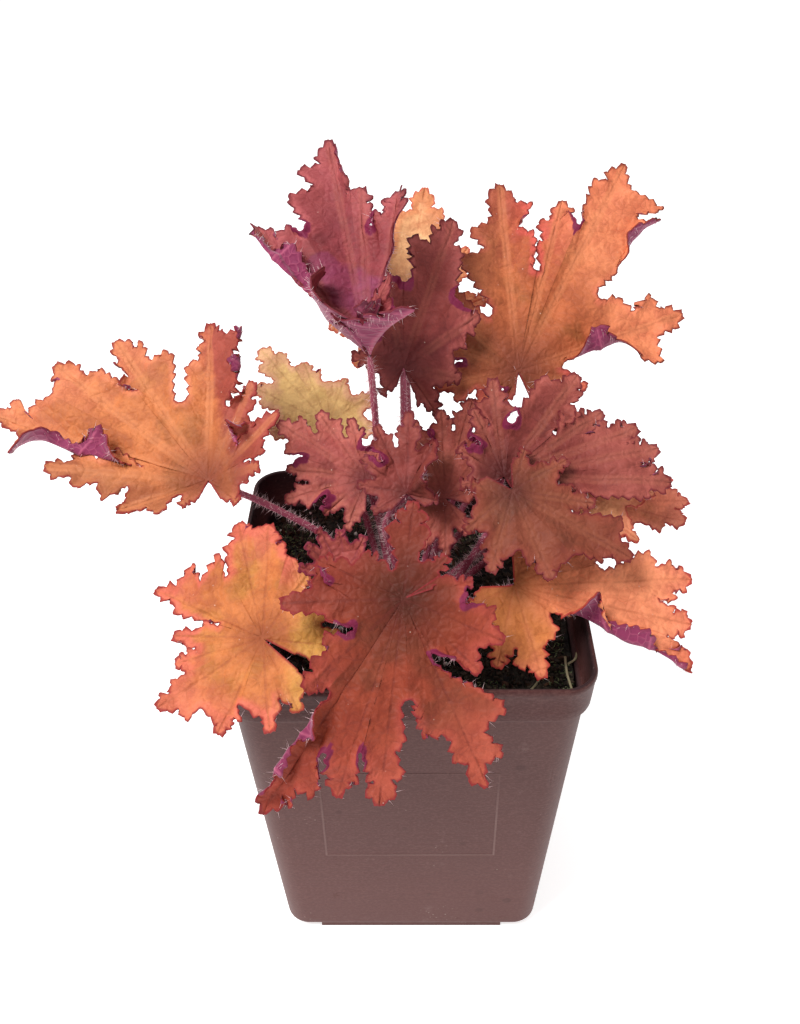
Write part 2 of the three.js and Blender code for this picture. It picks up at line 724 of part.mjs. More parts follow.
    lobes: [
      [-212, 14, [-196, 10]],
      [-180, 19, [-168, 13]],
      [-155, 18, [-132, 11]],
      [-105, 12, [-80, 9]],
      [-50, 18, [-35, 13]],
      [-21, 27, [-12, 18]],
      [-1, 29, [8, 22]],
      [16, 34, [26, 22]],
      [38, 20, [60, 12]],
      [80, 11, [105, 8]],
    ],
  },
  {
    name: "leaf_upper_right", colour: 0x99493f, joint: [30, -6, 181], faces: [8, 50],
    root: ["inner", 67], via: [[13, 2, 145], [26, 4, 164]],
    lobes: [
      [-100, 14, [-78, 10]],
      [-55, 17, [-38, 12]],
      [-22, 24, [-14, 17]],
      [-4, 32, [8, 17], 0, [[75, 6]], []],
      [37, 42, [50, 21], 0, [[80, 9]], [[73, 8], [88, 5]]],
      [57, 39, [63, 31]],
      [70, 46, [75, 41]],
      [80, 50, [85, 44]],
      [92, 53, [106, 24], 0, [], [[84, 6]]],
      [128, 20, [150, 11]],
    ],
  },
  {
    name: "leaf_lower_right", colour: 0x964a40, joint: [32, -13, 181], faces: [12, 52],
    root: ["outer", 70], via: [[18, -6, 143], [28, -7, 165]],
    lobes: [
      [20, 14, [38, 10]],
      [62, 20, [82, 14]],
      [100, 26, [110, 19]],
      [121, 42, [142, 27], 0, [[80, 9]], [[80, 6]]],
      [160, 30, [178, 19]],
      [198, 27, [213, 16]],
      [230, 20, [252, 12]],
      [278, 13, [300, 9]],
    ],
  },
  {
    name: "leaf_right_front", colour: 0xc97840, joint: [33, -26, 154], faces: [15, 55],
    root: ["outer", 38], via: [[13, -14, 133], [25, -20, 144]],
    lobes: [
      [20, 20, [42, 14]],
      [66, 34, [77, 27]],
      [89, 58, [97, 46], 0, [[76, 9], [89, 6]]],
      [104, 57, [110, 50], 0, [[88, 4]]],
      [116, 61, [131, 14], 0, [[88, 5]], [[38, 12], [72, 8]], { rollRight: [0.3, 150] }],
      [168, 30, [184, 20], 0, [[56, 9]], [[82, 7]]],
      [197, 27, [216, 17]],
      [245, 18, [268, 11]],
    ],
  },
  {
    name: "leaf_right_orange", colour: 0xd98650, joint: [53, -2, 171], faces: [25, 60],
    root: ["outer", 100], via: [[28, -1, 145], [44, 0, 161]], crests: 1,
    lobes: [
      [0, 12, [22, 9]],
      [48, 15, [64, 11]],
      [77, 19, [83, 16]],
      [91, 27, [108, 17]],
      [131, 25, [150, 12]],
      [170, 14, [195, 9]],
    ],
  },
  {
    name: "leaf_right_coral", colour: 0xd98468, joint: [62, 18, 154], faces: [25, 60],
    root: ["outer", 130], via: [[24, 12, 135], [46, 17, 147]], crests: 1,
    lobes: [
      [-20, 14, [5, 10]],
      [35, 20, [54, 15]],
      [76, 33, [83, 28]],
      [92, 36, [97, 31]],
      [104, 35, [125, 17]],
      [150, 17, [172, 10]],
    ],
  },
  {
    name: "leaf_back_right", colour: 0xb0603c, joint: [32, 38, 158], faces: [150, 62],
    root: ["outer", 160], via: [[14, 22, 136], [24, 34, 148]], crests: 1,
    lobes: [
      [-150, 19, [-128, 13]],
      [-95, 25, [-70, 17]],
      [-38, 21, [-12, 14]],
      [15, 22, [35, 15]],
      [62, 28, [84, 19]],
      [108, 25, [128, 17]],
      [150, 18, [165, 12]],
    ],
  },
  {
    name: "leaf_back_low", colour: 0x8f4a3c, joint: [-6, 44, 150], faces: [190, 60],
    root: ["outer", -160], via: [[-4, 22, 135], [-5, 34, 146]], crests: 1,
    lobes: [
      [-145, 17, [-118, 11]],
      [-85, 22, [-60, 15]],
      [-25, 20, [0, 14]],
      [32, 21, [56, 14]],
      [88, 22, [112, 15]],
      [138, 17, [158, 11]],
    ],
  },
  {
    name: "leaf_small", colour: 0x99403c, joint: [-19, -32, 164], faces: [-10, 60],
    root: ["outer", -30], via: [[-9, -14, 138], [-15, -24, 153]], crests: 1,
    lobes: [
      [-120, 12, [-105, 9], [15, 30]],
      [-90, 14, [-74, 10], [15, 30]],
      [-58, 16, [-45, 11], [15, 30]],
      [-32, 16, [-18, 11], [15, 30]],
      [-3, 14, [15, 10], [15, 30]],
      [34, 14, [55, 9], [15, 30]],
      [76, 13, [100, 8], [15, 30]],
    ],
  },
];

const RINGS = { inner: 4.8, outer: 9.6 };
const ROOT_DEPTH = 6;
const DEFAULTS = { crests: 2, fold: 0.14, ripple: 1.2, waves: 5, phase: 0 };

// A stalk's foot stands in one of the crown's two rings, turned from the front to the right.
function rootPlace([ring, turn]) {
  const reach = RINGS[ring];
  return [
    reach * Math.sin(turn * RAD), -reach * Math.cos(turn * RAD), SOIL.top - CROWN.sunk + ROOT_DEPTH];
}

// A roll is [distance from the midrib, turn], and the share of the lobe's length where it ends.
function readRoll([start, turn, until] = [0, 0]) {
  return [start, turn, until || ROLL.toTip];
}

function readLobe([angle, length, sinus, bend, left, right, rolls]) {
  const [lift, curl] = bend || [0, 0];
  return {
    angle, length, lift, curl, sinus: polar(...sinus), left: left || [], right: right || [],
    rollLeft: readRoll(rolls && rolls.rollLeft), rollRight: readRoll(rolls && rolls.rollRight),
  };
}

function readLeaf(chart) {
  const leaf = { ...DEFAULTS, ...chart, lobes: chart.lobes.map(readLobe) };
  leaf.radius = Math.max(...leaf.lobes.map((lobe) => lobe.length));
  leaf.lobes.forEach((lobe, i) => {
    const first = polar(lobe.angle - BASAL.turn, BASAL.reach * lobe.length);
    const before = i ? leaf.lobes[i - 1].sinus : first;
    const left = marginOf(lobe, before, lobe.left, leaf.crests);
    const right = marginOf(lobe, lobe.sinus, lobe.right, leaf.crests);
    lobe.veins = veinShares(lobe, left, right);
    lobe.starts = [left[0][0], right[0][0]];
    lobe.sides = [marginPoints(lobe, left, -1), marginPoints(lobe, right, 1)];
  });
  return leaf;
}

function makeLeaf(chart) {
  const leaf = readLeaf(chart);
  const { up, ahead, right } = bladeFrame(leaf.faces);
  const surface = bladeSurface(leaf);
  const placed = surface.points.map(([x, y, z]) => new THREE.Vector3(...leaf.joint)
    .addScaledVector(right, x).addScaledVector(ahead, y).addScaledVector(up, z).toArray());
  const blade = thicken({ points: placed, faces: surface.faces }, BLADE.thickness);
  const bladeSolid = solidFrom(blade.points, blade.faces);
  const curve = stalkCurve(leaf);
  const stalk = stalkSolid(curve, STALK.radius, STALK.rootRadius);
  return { leaf, solid: bladeSolid.add(stalk), curve };
}

const leaves = LEAVES.map(makeLeaf);

// ---------- crown and soil ----------

function crownSolid(grown) {
  const knob = new THREE.SphereGeometry(1, CROWN.sides, CROWN.rings);
  knob.rotateX(90 * RAD);
  const place = knob.attributes.position;
  for (let i = 0; i < place.count; i += 1) {
    const [x, y, z] = [place.getX(i), place.getY(i), place.getZ(i)];
    const lump = 1 + CROWN.lumps * Math.sin(3 * x + 5 * y) * Math.cos(4 * z);
    const across = CROWN.radius * lump + grown;
    place.setXYZ(i, across * x, across * y, ((CROWN.height / 2) * lump + grown) * z);
  }
  knob.translate(0, 0, SOIL.top - CROWN.sunk + CROWN.height / 2);
  return solidFromGeometry(knob);
}

// The crown has a plain hole for the foot of each stalk.
function makeCrown() {
  let crown = crownSolid(0);
  leaves.forEach(({ curve }) => {
    crown = crown.subtract(stalkSolid(curve, STALK.radius, STALK.rootRadius, CROWN.gap));
  });
  return crown;
}

// The soil lies a little uneven, and rises towards the crown.
function soilHeight(x, y) {
  const mound = SOIL.swell * Math.exp(-(x * x + y * y) / SOIL.swellReach ** 2);
  return SOIL.top + mound + SOIL.ripple * Math.sin(0.31 * x + 1) * Math.cos(0.27 * y + 0.12 * x);
}

function makeSoil() {
  const low = POT.footHeight + POT.floor + SOIL.gap;
  const inside = (z, extra = 0) => {
    const { half, corner } = wallAt(z);
    const inset = POT.wall + SOIL.gap + extra;
    return squareRing(half - inset, corner - POT.wall - extra / 2, z);
  };
  const turn = 3.2;
  const rings = [inside(low, turn), inside(low + turn), inside(SOIL.top - 2.5)];
  const edge = wallAt(SOIL.top).half - POT.wall - SOIL.gap;
  SOIL_RINGS.forEach((share) => {
    const ring = squareRing(edge * share, (POT.rimCorner - 3) * share, 0);
    rings.push(ring.map(([x, y]) => [x, y, soilHeight(x, y)]));
  });
  let soil = loftRings(rings, soilHeight(0, 0)).subtract(crownSolid(CROWN.gap));
  leaves.forEach(({ curve }) => {
    soil = soil.subtract(stalkSolid(curve, STALK.radius, STALK.rootRadius, SOIL.gap));
  });
  return soil;
}

const root = new THREE.Group();
root.add(meshFromSolid("pot", makePot(), PLASTIC));
root.add(meshFromSolid("soil", makeSoil(), MIX));
root.add(meshFromSolid("crown", makeCrown(), ROOTSTOCK));
leaves.forEach(({ leaf, solid }) => {
  root.add(meshFromSolid(leaf.name, solid, leafMaterial(leaf.colour)));
});

export default root;
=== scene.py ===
# %% [markdown]
# # A potted heuchera
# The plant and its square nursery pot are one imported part. This notebook dresses that part for a
# close look: fine leaves with toothed margins, hairy stalks, a moulded pot and loose potting mix.
# Every length is a millimetre, as a gardener would measure it, and becomes metres only when a mesh
# is made. The camera, the lamps and the patterns that a finish reads in space are in metres.

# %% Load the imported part
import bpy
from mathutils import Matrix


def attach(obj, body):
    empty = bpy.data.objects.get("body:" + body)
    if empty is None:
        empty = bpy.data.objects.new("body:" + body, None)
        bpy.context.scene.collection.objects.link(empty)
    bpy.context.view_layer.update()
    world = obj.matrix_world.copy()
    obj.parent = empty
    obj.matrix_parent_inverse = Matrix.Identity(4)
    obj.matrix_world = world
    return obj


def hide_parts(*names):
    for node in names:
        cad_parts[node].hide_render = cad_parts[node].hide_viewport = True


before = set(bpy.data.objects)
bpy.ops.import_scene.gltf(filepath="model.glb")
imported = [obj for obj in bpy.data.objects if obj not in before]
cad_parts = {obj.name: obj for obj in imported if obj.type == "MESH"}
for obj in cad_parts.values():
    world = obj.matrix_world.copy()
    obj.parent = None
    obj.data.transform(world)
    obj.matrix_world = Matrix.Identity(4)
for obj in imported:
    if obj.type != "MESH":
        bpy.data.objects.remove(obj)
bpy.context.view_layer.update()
print("nodes:", sorted(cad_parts))

# %% Tools used below
import math

import bmesh
import bpy
import numpy as np
from mathutils import Matrix, Vector

MM = 0.001
RAD = math.pi / 180
SEED = 8
chance = np.random.default_rng(SEED)

# %% [markdown]
# ## Camera, floor and light
# A plant is best judged from the height it is looked at in a shop, so the camera looks down at
# about 37 degrees from a little over a foot away. The floor is plain and pale, and large lamps
# give soft light, because small ones would put hard glints on every fold.

# %% Camera
EYE = (0.0026, -0.2774, 0.3739)
PITCH, YAW, ROLL = 37.22 * RAD, -1.03 * RAD, -0.96 * RAD
SENSOR_HEIGHT = 36
FOCAL_PIXELS, FRAME_PIXELS = 1075, 1024


def camera_axes(pitch, yaw, roll):
    """The camera's own right, up and backward directions."""
    ahead = Vector((math.sin(yaw) * math.cos(pitch), math.cos(yaw) * math.cos(pitch),
                    -math.sin(pitch)))
    level = Vector((math.cos(yaw), -math.sin(yaw), 0))
    upright = level.cross(ahead)
    right = level * math.cos(roll) + upright * math.sin(roll)
    up = upright * math.cos(roll) - level * math.sin(roll)
    return right, up, -ahead


lens = bpy.data.cameras.new("camera")
lens.sensor_fit = "VERTICAL"
lens.sensor_height = SENSOR_HEIGHT
lens.lens = SENSOR_HEIGHT * FOCAL_PIXELS / FRAME_PIXELS
lens.clip_start = 0.01
camera = bpy.data.objects.new("camera", lens)
bpy.context.scene.collection.objects.link(camera)
camera.matrix_world = Matrix.Translation(EYE) @ Matrix(
    camera_axes(PITCH, YAW, ROLL)).transposed().to_4x4()
bpy.context.scene.camera = camera
print("camera lens", round(lens.lens, 2), "mm")

# %% Light
LAMPS = {
    "lamp_front": ((-0.5, -0.35, 1.15), 0.45, 12.5),
    "lamp_right": ((0.8, -0.25, 0.7), 0.7, 1.2),
    "lamp_back": ((-0.1, 0.75, 0.9), 0.6, 2.2),
}
LAMPS_AIM = Vector((0, 0, 0.13))
SKY_STRENGTH = 0.36

bpy.context.scene.view_settings.view_transform = "Standard"
for name, (place, size, watts) in LAMPS.items():
    lamp = bpy.data.lights.new(name, "AREA")
    lamp.size = size
    lamp.energy = watts
    holder = bpy.data.objects.new(name, lamp)
    bpy.context.scene.collection.objects.link(holder)
    holder.location = place
    holder.rotation_euler = (LAMPS_AIM - holder.location).to_track_quat("-Z", "Y").to_euler()
sky = bpy.data.worlds.new("sky")
sky.use_nodes = True
background = sky.node_tree.nodes["Background"].inputs
background["Color"].default_value = (1.0, 1.0, 1.0, 1)
background["Strength"].default_value = SKY_STRENGTH
bpy.context.scene.world = sky
print("lamps:", list(LAMPS))

# %% [markdown]
# ## Writing materials as sums
# A finish is mostly arithmetic on a few patterns: how far a place is from a vein, how close it is
# to a margin, a little noise. A small class wraps a node's output so that the arithmetic can be
# written down plainly, and one method adds any other node. The nodes could be placed one by one in
# the shader editor, but a long finish is easier to read, and to change, as a few sums. Most
# finishes are then built up as a painter would: a ground colour, and thin coats over it, each with
# its own share.

# %% Colours and sums
def paint(red, green, blue):
    """A colour as a painter reads it, 0 to 255, in the light values that shaders use."""
    shares = [value / 255 for value in (red, green, blue)]
    return (*[s / 12.92 if s <= 0.04045 else ((s + 0.055) / 1.055) ** 2.4 for s in shares], 1)


class Wire:
    """A node's output. Sums on it add Math nodes."""

    def __init__(self, finish, socket):
        self.finish, self.socket = finish, socket

    def math(self, operation, *values):
        return self.finish.add("Math", {"operation": operation}, dict(enumerate(values)))

    def __add__(self, other):
        return self.math("ADD", self, other)

    def __sub__(self, other):
        return self.math("SUBTRACT", self, other)

    def __rsub__(self, other):
        return self.math("SUBTRACT", other, self)

    def __mul__(self, other):
        return self.math("MULTIPLY", self, other)

    def __abs__(self):
        return self.math("ABSOLUTE", self)

    __radd__, __rmul__ = __add__, __mul__


print("leaf green would be", [round(value, 3) for value in paint(70, 110, 50)])

# %% Finishes
class Finish:
    """A material, with its Principled shader as `surface`."""

    def __init__(self, name, **constants):
        self.material = bpy.data.materials.new(name)
        self.material.use_nodes = True
        self.nodes = self.material.node_tree.nodes
        self.links = self.material.node_tree.links
        self.surface = self.nodes["Principled BSDF"]
        self.show(**constants)

    def put(self, socket, value):
        if isinstance(value, Wire):
            self.links.new(value.socket, socket)
        else:
            socket.default_value = value

    def add(self, kind, settings=None, inputs=None, out=0):
        """Any node, from its type, its settings, its inputs and the output that is wanted."""
        node = self.nodes.new("ShaderNode" + kind)
        for name, value in (settings or {}).items():
            setattr(node, name, value)
        for key, value in (inputs or {}).items():
            self.put(node.inputs[key], value)
        return Wire(self, node.outputs[out])

    def mix(self, share, first, second, blend="MIX"):
        return self.add("Mix", {"data_type": "RGBA", "blend_type": blend, "clamp_factor": True},
                        {0: share, 6: first, 7: second}, 2)

    def coats(self, colour, paints, **shares):
        """Coats over a colour, in the order given. A share is named as its paint is."""
        for name, share in shares.items():
            colour = self.mix(share, colour, paint(*paints[name]))
        return colour

    def step(self, value, low, high, start=0.0, end=1.0):
        """A soft step from `start` to `end` while the value goes from `low` to `high`."""
        return self.add("MapRange", {"interpolation_type": "SMOOTHSTEP"},
                        {0: value, 1: low, 2: high, 3: start, 4: end})

    def attribute(self, name, out=2):
        return self.add("Attribute", {"attribute_name": name}, out=out)

    def place(self):
        return self.add("TexCoord", out=3)

    def stretch(self, vector, by):
        return self.add("VectorMath", {"operation": "MULTIPLY"}, {0: vector, 1: by})

    def noise(self, vector, scale, detail=3.0, rough=0.55, out=0):
        return self.add("TexNoise", {}, {"Vector": vector, "Scale": scale, "Detail": detail,
                                         "Roughness": rough}, out)

    def cells(self, vector, scale, feature="F1"):
        return self.add("TexVoronoi", {"feature": feature}, {"Vector": vector, "Scale": scale})

    def bump(self, height, distance, strength):
        return self.add("Bump", {}, {"Height": height, "Distance": distance,
                                     "Strength": strength})

    def show(self, **values):
        for socket, value in values.items():
            self.put(self.surface.inputs[socket.replace("_", " ")], value)
        return self.material


print("one sum adds one Math node")

# %% Floor
FLOOR_PAINT = (0.86, 0.86, 0.855, 1), (0.89, 0.89, 0.885, 1)
board = Finish("pale_floor", Roughness=0.9, Emission_Color=(1, 1, 1, 1), Emission_Strength=0.68)
floor_finish = board.show(Base_Color=board.mix(board.noise(board.place(), 6.0), *FLOOR_PAINT))
bpy.ops.mesh.primitive_plane_add(size=6)
floor = bpy.context.object
floor.name = "floor"
floor.data.materials.append(floor_finish)
print("floor", round(floor.dimensions.x, 1), "m wide")

# %% [markdown]
# ## Making pieces
# Points are gathered in millimetres, and each piece becomes one mesh whose object sits at the
# origin. Most pieces here are tubes of some kind, made of rings of points with quads between them:
# the pot's wall, the leaf stalks, the straw. Where a piece repeats something by the hundred, a
# Geometry Nodes tree places the copies, and the result is turned into a plain mesh.

# %% Meshes and objects
def linked(name, mesh):
    """A new object in the scene with this mesh."""
    made = bpy.data.objects.new(name, mesh)
    bpy.context.scene.collection.objects.link(made)
    return made


def keep_fact(mesh, fact, values):
    """A value or a vector kept for each point, under a name that finishes and trees can read."""
    values = np.asarray(values, np.float32)
    kind, field = ("FLOAT_VECTOR", "vector") if values.ndim == 2 else ("FLOAT", "value")
    mesh.attributes.new(fact, kind, "POINT").data.foreach_set(field, values.ravel())


def piece_from(name, points, faces, finishes, face_finish=None, smooth=True, facts=None):
    """A mesh object from millimetre points. `facts` are values or vectors kept for each point."""
    mesh = bpy.data.meshes.new(name)
    mesh.from_pydata((np.asarray(points) * MM).tolist(), [], [list(f) for f in faces])
    for finish in finishes:
        mesh.materials.append(finish)
    if face_finish is not None:
        mesh.polygons.foreach_set("material_index", np.asarray(face_finish, np.int32))
    mesh.polygons.foreach_set("use_smooth", np.full(len(mesh.polygons), smooth))
    for fact, values in (facts or {}).items():
        keep_fact(mesh, fact, values)
    mesh.update()
    return linked(name, mesh)


def copy_of(piece):
    """The piece again, with a mesh of its own."""
    made = piece.copy()
    made.data = piece.data.copy()
    bpy.context.scene.collection.objects.link(made)
    return made


def make_plain(made):
    """Puts the result of the object's modifiers in its own mesh."""
    seen = made.evaluated_get(bpy.context.evaluated_depsgraph_get())
    mesh = bpy.data.meshes.new_from_object(seen)
    made.modifiers.clear()
    made.data = mesh


print("points go in as millimetres: 1 mm is", MM, "m")

# %% Rings of points
def ring_faces(rings, sides):
    """Quads between neighbouring rings of points."""
    a = np.arange((rings - 1) * sides)
    b = a - a % sides + (a + 1) % sides
    return np.stack([a, b, b + sides, a + sides], axis=-1)


def closed_ends(rings, sides):
    """Those quads, and a face over the first ring and the last."""
    ring = list(range(sides))
    return [*ring_faces(rings, sides).tolist(), ring[::-1],
            [(rings - 1) * sides + i for i in ring]]


print("five rings of eight points have", len(ring_faces(5, 8)), "quads between them")

# %% Put a piece on the plant's body
def triangles(made):
    return sum(len(face.vertices) - 2 for face in made.data.polygons)


def hold(made, slot, *nodes):
    """The piece rides on the plant's one body and stands for CAD nodes, which it hides. `slot` is not
    used.
    """
    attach(made, "root")
    for node in nodes:
        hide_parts(node)
    print(made.name, triangles(made), "triangles")


print("every piece rides on root")

# %% [markdown]
# ## The pot
# The pot is one injection moulding: a tapered square with rounded corners, a stepped band at the
# rim and a low cross-shaped foot. A box with bevels would come near it, but its corners grow
# rounder towards the rim and every edge has its own softness. So the wall is a list of rings, from
# the foot up over the rim and down the inside, each with a width, a corner radius and a height.
# The foot and the thin raised rectangle, which is kept bare, are joined on, and the drain holes
# are cut afterwards.

# %% Pot sizes
POT = {"height": 140, "rim_half": 57.5, "band_half": 56.5, "neck_half": 54.9, "base_half": 47,
       "band_height": 13.7, "wall": 1.6, "floor": 2, "foot_half": 34, "foot_reach": 46,
       "foot_height": 2, "rim_corner": 11, "base_corner": 8.5, "corner_steps": 12}
FILLET = {"base": 2.5, "floor": 2.2, "corner": 2, "corner_share": 0.8}
PANEL = {"width": 59, "height": 48, "centre_z": 74, "line": 0.6, "proud": 0.08, "root": 0.5}
DRAIN = {"radius": 4.5, "place": 27, "low": -1, "high": 8}
FOOT_OVERLAP = 0.4
SHARP_EDGE = 32 * RAD
foot, floor_z, top = POT["foot_height"], POT["foot_height"] + POT["floor"], POT["height"]
step_z = top - POT["band_height"]


def square_ring(half, corner, z):
    """Points round a square with rounded corners, at one height."""
    steps = POT["corner_steps"]
    ring = []
    for quarter in range(4):
        for step in range(steps + 1):
            angle = (quarter + step / steps) * 90 * RAD
            side = (quarter * 90 + 45) * RAD
            ring.append([math.copysign(half - corner, math.cos(side)) + corner * math.cos(angle),
                         math.copysign(half - corner, math.sin(side)) + corner * math.sin(angle),
                         z])
    return ring


def wall_at(z):
    """The wall's half width and corner radius at one height."""
    share = (z - foot) / (step_z - foot)
    return (POT["base_half"] + (POT["neck_half"] - POT["base_half"]) * share,
            POT["base_corner"] + (POT["rim_corner"] - 1 - POT["base_corner"]) * share)


def fillet(half, corner, z, radius, turns):
    """Rings that turn from a level face into a wall."""
    rings = []
    for turn in turns:
        out, up = radius * math.sin(turn * RAD), radius * (1 - math.cos(turn * RAD))
        rings.append((half - radius + out,
                      corner - FILLET["corner"] + out * FILLET["corner_share"], z + up))
    return rings


print("wall at half height", [round(v, 1) for v in wall_at(top / 2)])

# %% Pot walls
low, high = wall_at(foot + FILLET["base"]), wall_at(step_z - 1.6)
inner_low = wall_at(floor_z + FILLET["base"])
wall, rim, band, corner = (POT[size] for size in ("wall", "rim_half", "band_half", "rim_corner"))
profile = [
    *fillet(*low, foot, FILLET["base"], (0, 25, 50, 75, 90)),
    *[(*wall_at(z), z) for z in np.linspace(foot + 6, step_z - 3, 14)],
    (high[0], high[1], step_z - 1.6),
    (high[0] + 0.25, high[1], step_z - 0.9),
    (band - 0.5, corner - 0.3, step_z - 0.25),
    (band, corner, step_z),
    (band + 0.12, corner, step_z + 0.5),
    (band + 0.35, corner, step_z + 4),
    (rim - 0.25, corner, top - 2.6),
    (rim, corner, top - 1.9),
    (rim, corner, top - 0.7),
    (rim - 0.2, corner - 0.1, top - 0.2),
    (rim - 0.55, corner - 0.4, top),
    (rim - wall + 0.3, corner - wall + 0.3, top),
    (rim - wall, corner - wall, top - 0.35),
    (rim - wall, corner - wall, top - 1.5),
    (band - wall, corner - wall, step_z + 1.4),
    (band - wall - 0.4, corner - wall - 0.2, step_z + 0.7),
    (high[0] - wall, high[1] - wall, step_z - 0.6),
    *[(wall_at(z)[0] - wall, wall_at(z)[1] - wall, z)
      for z in np.linspace(step_z - 4, floor_z + 3, 6)],
    *fillet(inner_low[0] - wall, inner_low[1] - wall, floor_z, FILLET["floor"], (90, 60, 30, 0)),
]
points = [place for ring in profile for place in square_ring(*ring)]
pot = piece_from("pot_moulding", points,
                 closed_ends(len(profile), len(points) // len(profile)), [])
print("pot walls", triangles(pot), "triangles")

# %% Foot, raised rectangle and drain holes
def block(name, corners, low_z, high_z):
    """A prism over a list of corners, for joining to the pot or cutting from it."""
    count = len(corners)
    points = [[x, y, z] for z in (low_z, high_z) for x, y in corners]
    return piece_from(name, points, [
        list(range(count))[::-1], *ring_faces(2, count).tolist(),
        [i + count for i in range(count)]], [], smooth=False)


def combine(made, other, how):
    """Joins another object to a piece or cuts it away, and removes it."""
    cut = made.modifiers.new(how.lower(), "BOOLEAN")
    cut.operation, cut.solver, cut.object = how, "EXACT", other
    make_plain(made)
    bpy.data.objects.remove(other)


a, b = POT["foot_half"], POT["foot_reach"]
cross = [(-a, -b), (a, -b), (a, -a), (b, -a), (b, a), (a, a), (a, b), (-a, b), (-a, a), (-b, a),
         (-b, -a), (-a, -a)]
combine(pot, block("foot", cross, 0, foot + FOOT_OVERLAP), "UNION")
slope = math.atan((POT["neck_half"] - POT["base_half"]) / (step_z - foot))
face_turn = Matrix.Rotation(math.pi / 2 + slope, 3, "X")
face_place = Vector((0, -wall_at(PANEL["centre_z"])[0], PANEL["centre_z"]))
w, h, line = PANEL["width"] / 2, PANEL["height"] / 2, PANEL["line"]
for x0, x1, y0, y1 in ((-w, w, -h, -h + line), (-w, w, h - line, h),
                       (-w, -w + line, -h + line, h - line), (w - line, w, -h + line, h - line)):
    bar = block("bar", [(x0, y0), (x1, y0), (x1, y1), (x0, y1)], -PANEL["root"], PANEL["proud"])
    for vertex in bar.data.vertices:
        vertex.co = (face_turn @ (vertex.co / MM) + face_place) * MM
    combine(pot, bar, "UNION")
for sx, sy in ((1, 1), (-1, 1), (-1, -1), (1, -1)):
    edge = [(sx * DRAIN["place"] + DRAIN["radius"] * math.cos(turn * RAD),
             sy * DRAIN["place"] + DRAIN["radius"] * math.sin(turn * RAD))
            for turn in range(0, 360, 12)]
    combine(pot, block("drain", edge, DRAIN["low"], DRAIN["high"]), "DIFFERENCE")
pot.data.polygons.foreach_set("use_smooth", [True] * len(pot.data.polygons))
pot.data.set_sharp_from_angle(angle=SHARP_EDGE)
print("pot with foot, rectangle and holes", triangles(pot), "triangles")

# %% [markdown]
# ## Pot plastic
# Nursery plastic is reclaimed, so its colour is a taupe brown that drifts a little. The mould
# leaves fine level lines and a fine grain. The wall is painted darker towards the rim, the band
# under the rim darker still and the inner wall darker too, all as painted shade, and the lines of
# the raised rectangle are painted paler, as a painted highlight. Handling leaves pale scuffs and
# scratches the inner wall upright. Drops have dried on the outer wall, and potting mix clings to
# the inner one. All of it is too shallow for geometry, so it is colour, roughness and a little
# bump. Which wall is the inner one is marked on the mesh.

# %% Pot patterns
POT_PAINT = {"dark": (92, 56, 53), "light": (110, 71, 67), "upper": (80, 56, 55),
             "band": (68, 29, 27), "line": (84, 58, 56), "grain": (136, 100, 94),
             "drop": (60, 36, 36), "rubbed": (176, 146, 140), "scuff": (172, 150, 144),
             "inner": (52, 38, 40), "scratch": (140, 120, 118), "dirt": (34, 28, 24),
             "speck": (190, 172, 160)}
plastic = Finish("pot_plastic", Specular_IOR_Level=0.12)
place = plastic.place()
drift = plastic.noise(place, 14.0, 4.0)
lines = plastic.noise(plastic.stretch(place, (6.0, 6.0, 420.0)), 5.0, 2.0)
grain = plastic.noise(plastic.stretch(place, (1.0, 1.0, 1.8)), 900.0, 3.0, 0.7)
scratch = plastic.step(plastic.noise(plastic.stretch(place, (620.0, 620.0, 14.0)), 1.0, 3.0),
                       0.66, 0.8)
scuff = plastic.step(plastic.noise(place, 75.0, 5.0, 0.7), 0.6, 0.78)
speck = (plastic.step(plastic.cells(place, 520.0), 0.0, 0.22, 1.0, 0.0)
         * plastic.step(plastic.noise(place, 60.0, 2.0), 0.6, 0.72))
drops = (plastic.step(plastic.cells(place, 95.0), 0.12, 0.2, 1.0, 0.0)
         * plastic.step(plastic.noise(place, 24.0, 2.0), 0.54, 0.6))
inner = plastic.attribute("inside")
dirt = plastic.step(plastic.noise(place, 110.0, 5.0, 0.7) + inner * 0.1, 0.62, 0.75)
print(len(plastic.nodes), "nodes of plastic patterns")

# %% Painted highlight on the raised rectangle
# The lines of the raised rectangle are painted paler as a painted highlight, only on the front face and
# weaker above 70 mm.
RECTANGLE_HIGHLIGHT = {"near": 0.2, "far": 0.5, "front": (-46, -44), "fade": (70, 95)}
across, depth, height = (plastic.add("SeparateXYZ", {}, {0: place}, axis) for axis in range(3))
sideways = abs(across) - PANEL["width"] / 2 * MM
upright = abs(height - PANEL["centre_z"] * MM) - PANEL["height"] / 2 * MM
off_line = abs(sideways.math("MAXIMUM", sideways, upright) + PANEL["line"] / 2 * MM)
rubbed = (plastic.step(off_line, RECTANGLE_HIGHLIGHT["near"] * MM, RECTANGLE_HIGHLIGHT["far"] * MM, 1.0, 0.0)
          * plastic.step(depth, *[y * MM for y in RECTANGLE_HIGHLIGHT["front"]], 1.0, 0.0)
          * plastic.step(height, *[z * MM for z in RECTANGLE_HIGHLIGHT["fade"]], 1.0, 0.2))
print("rectangle", PANEL["width"], "by", PANEL["height"], "mm")

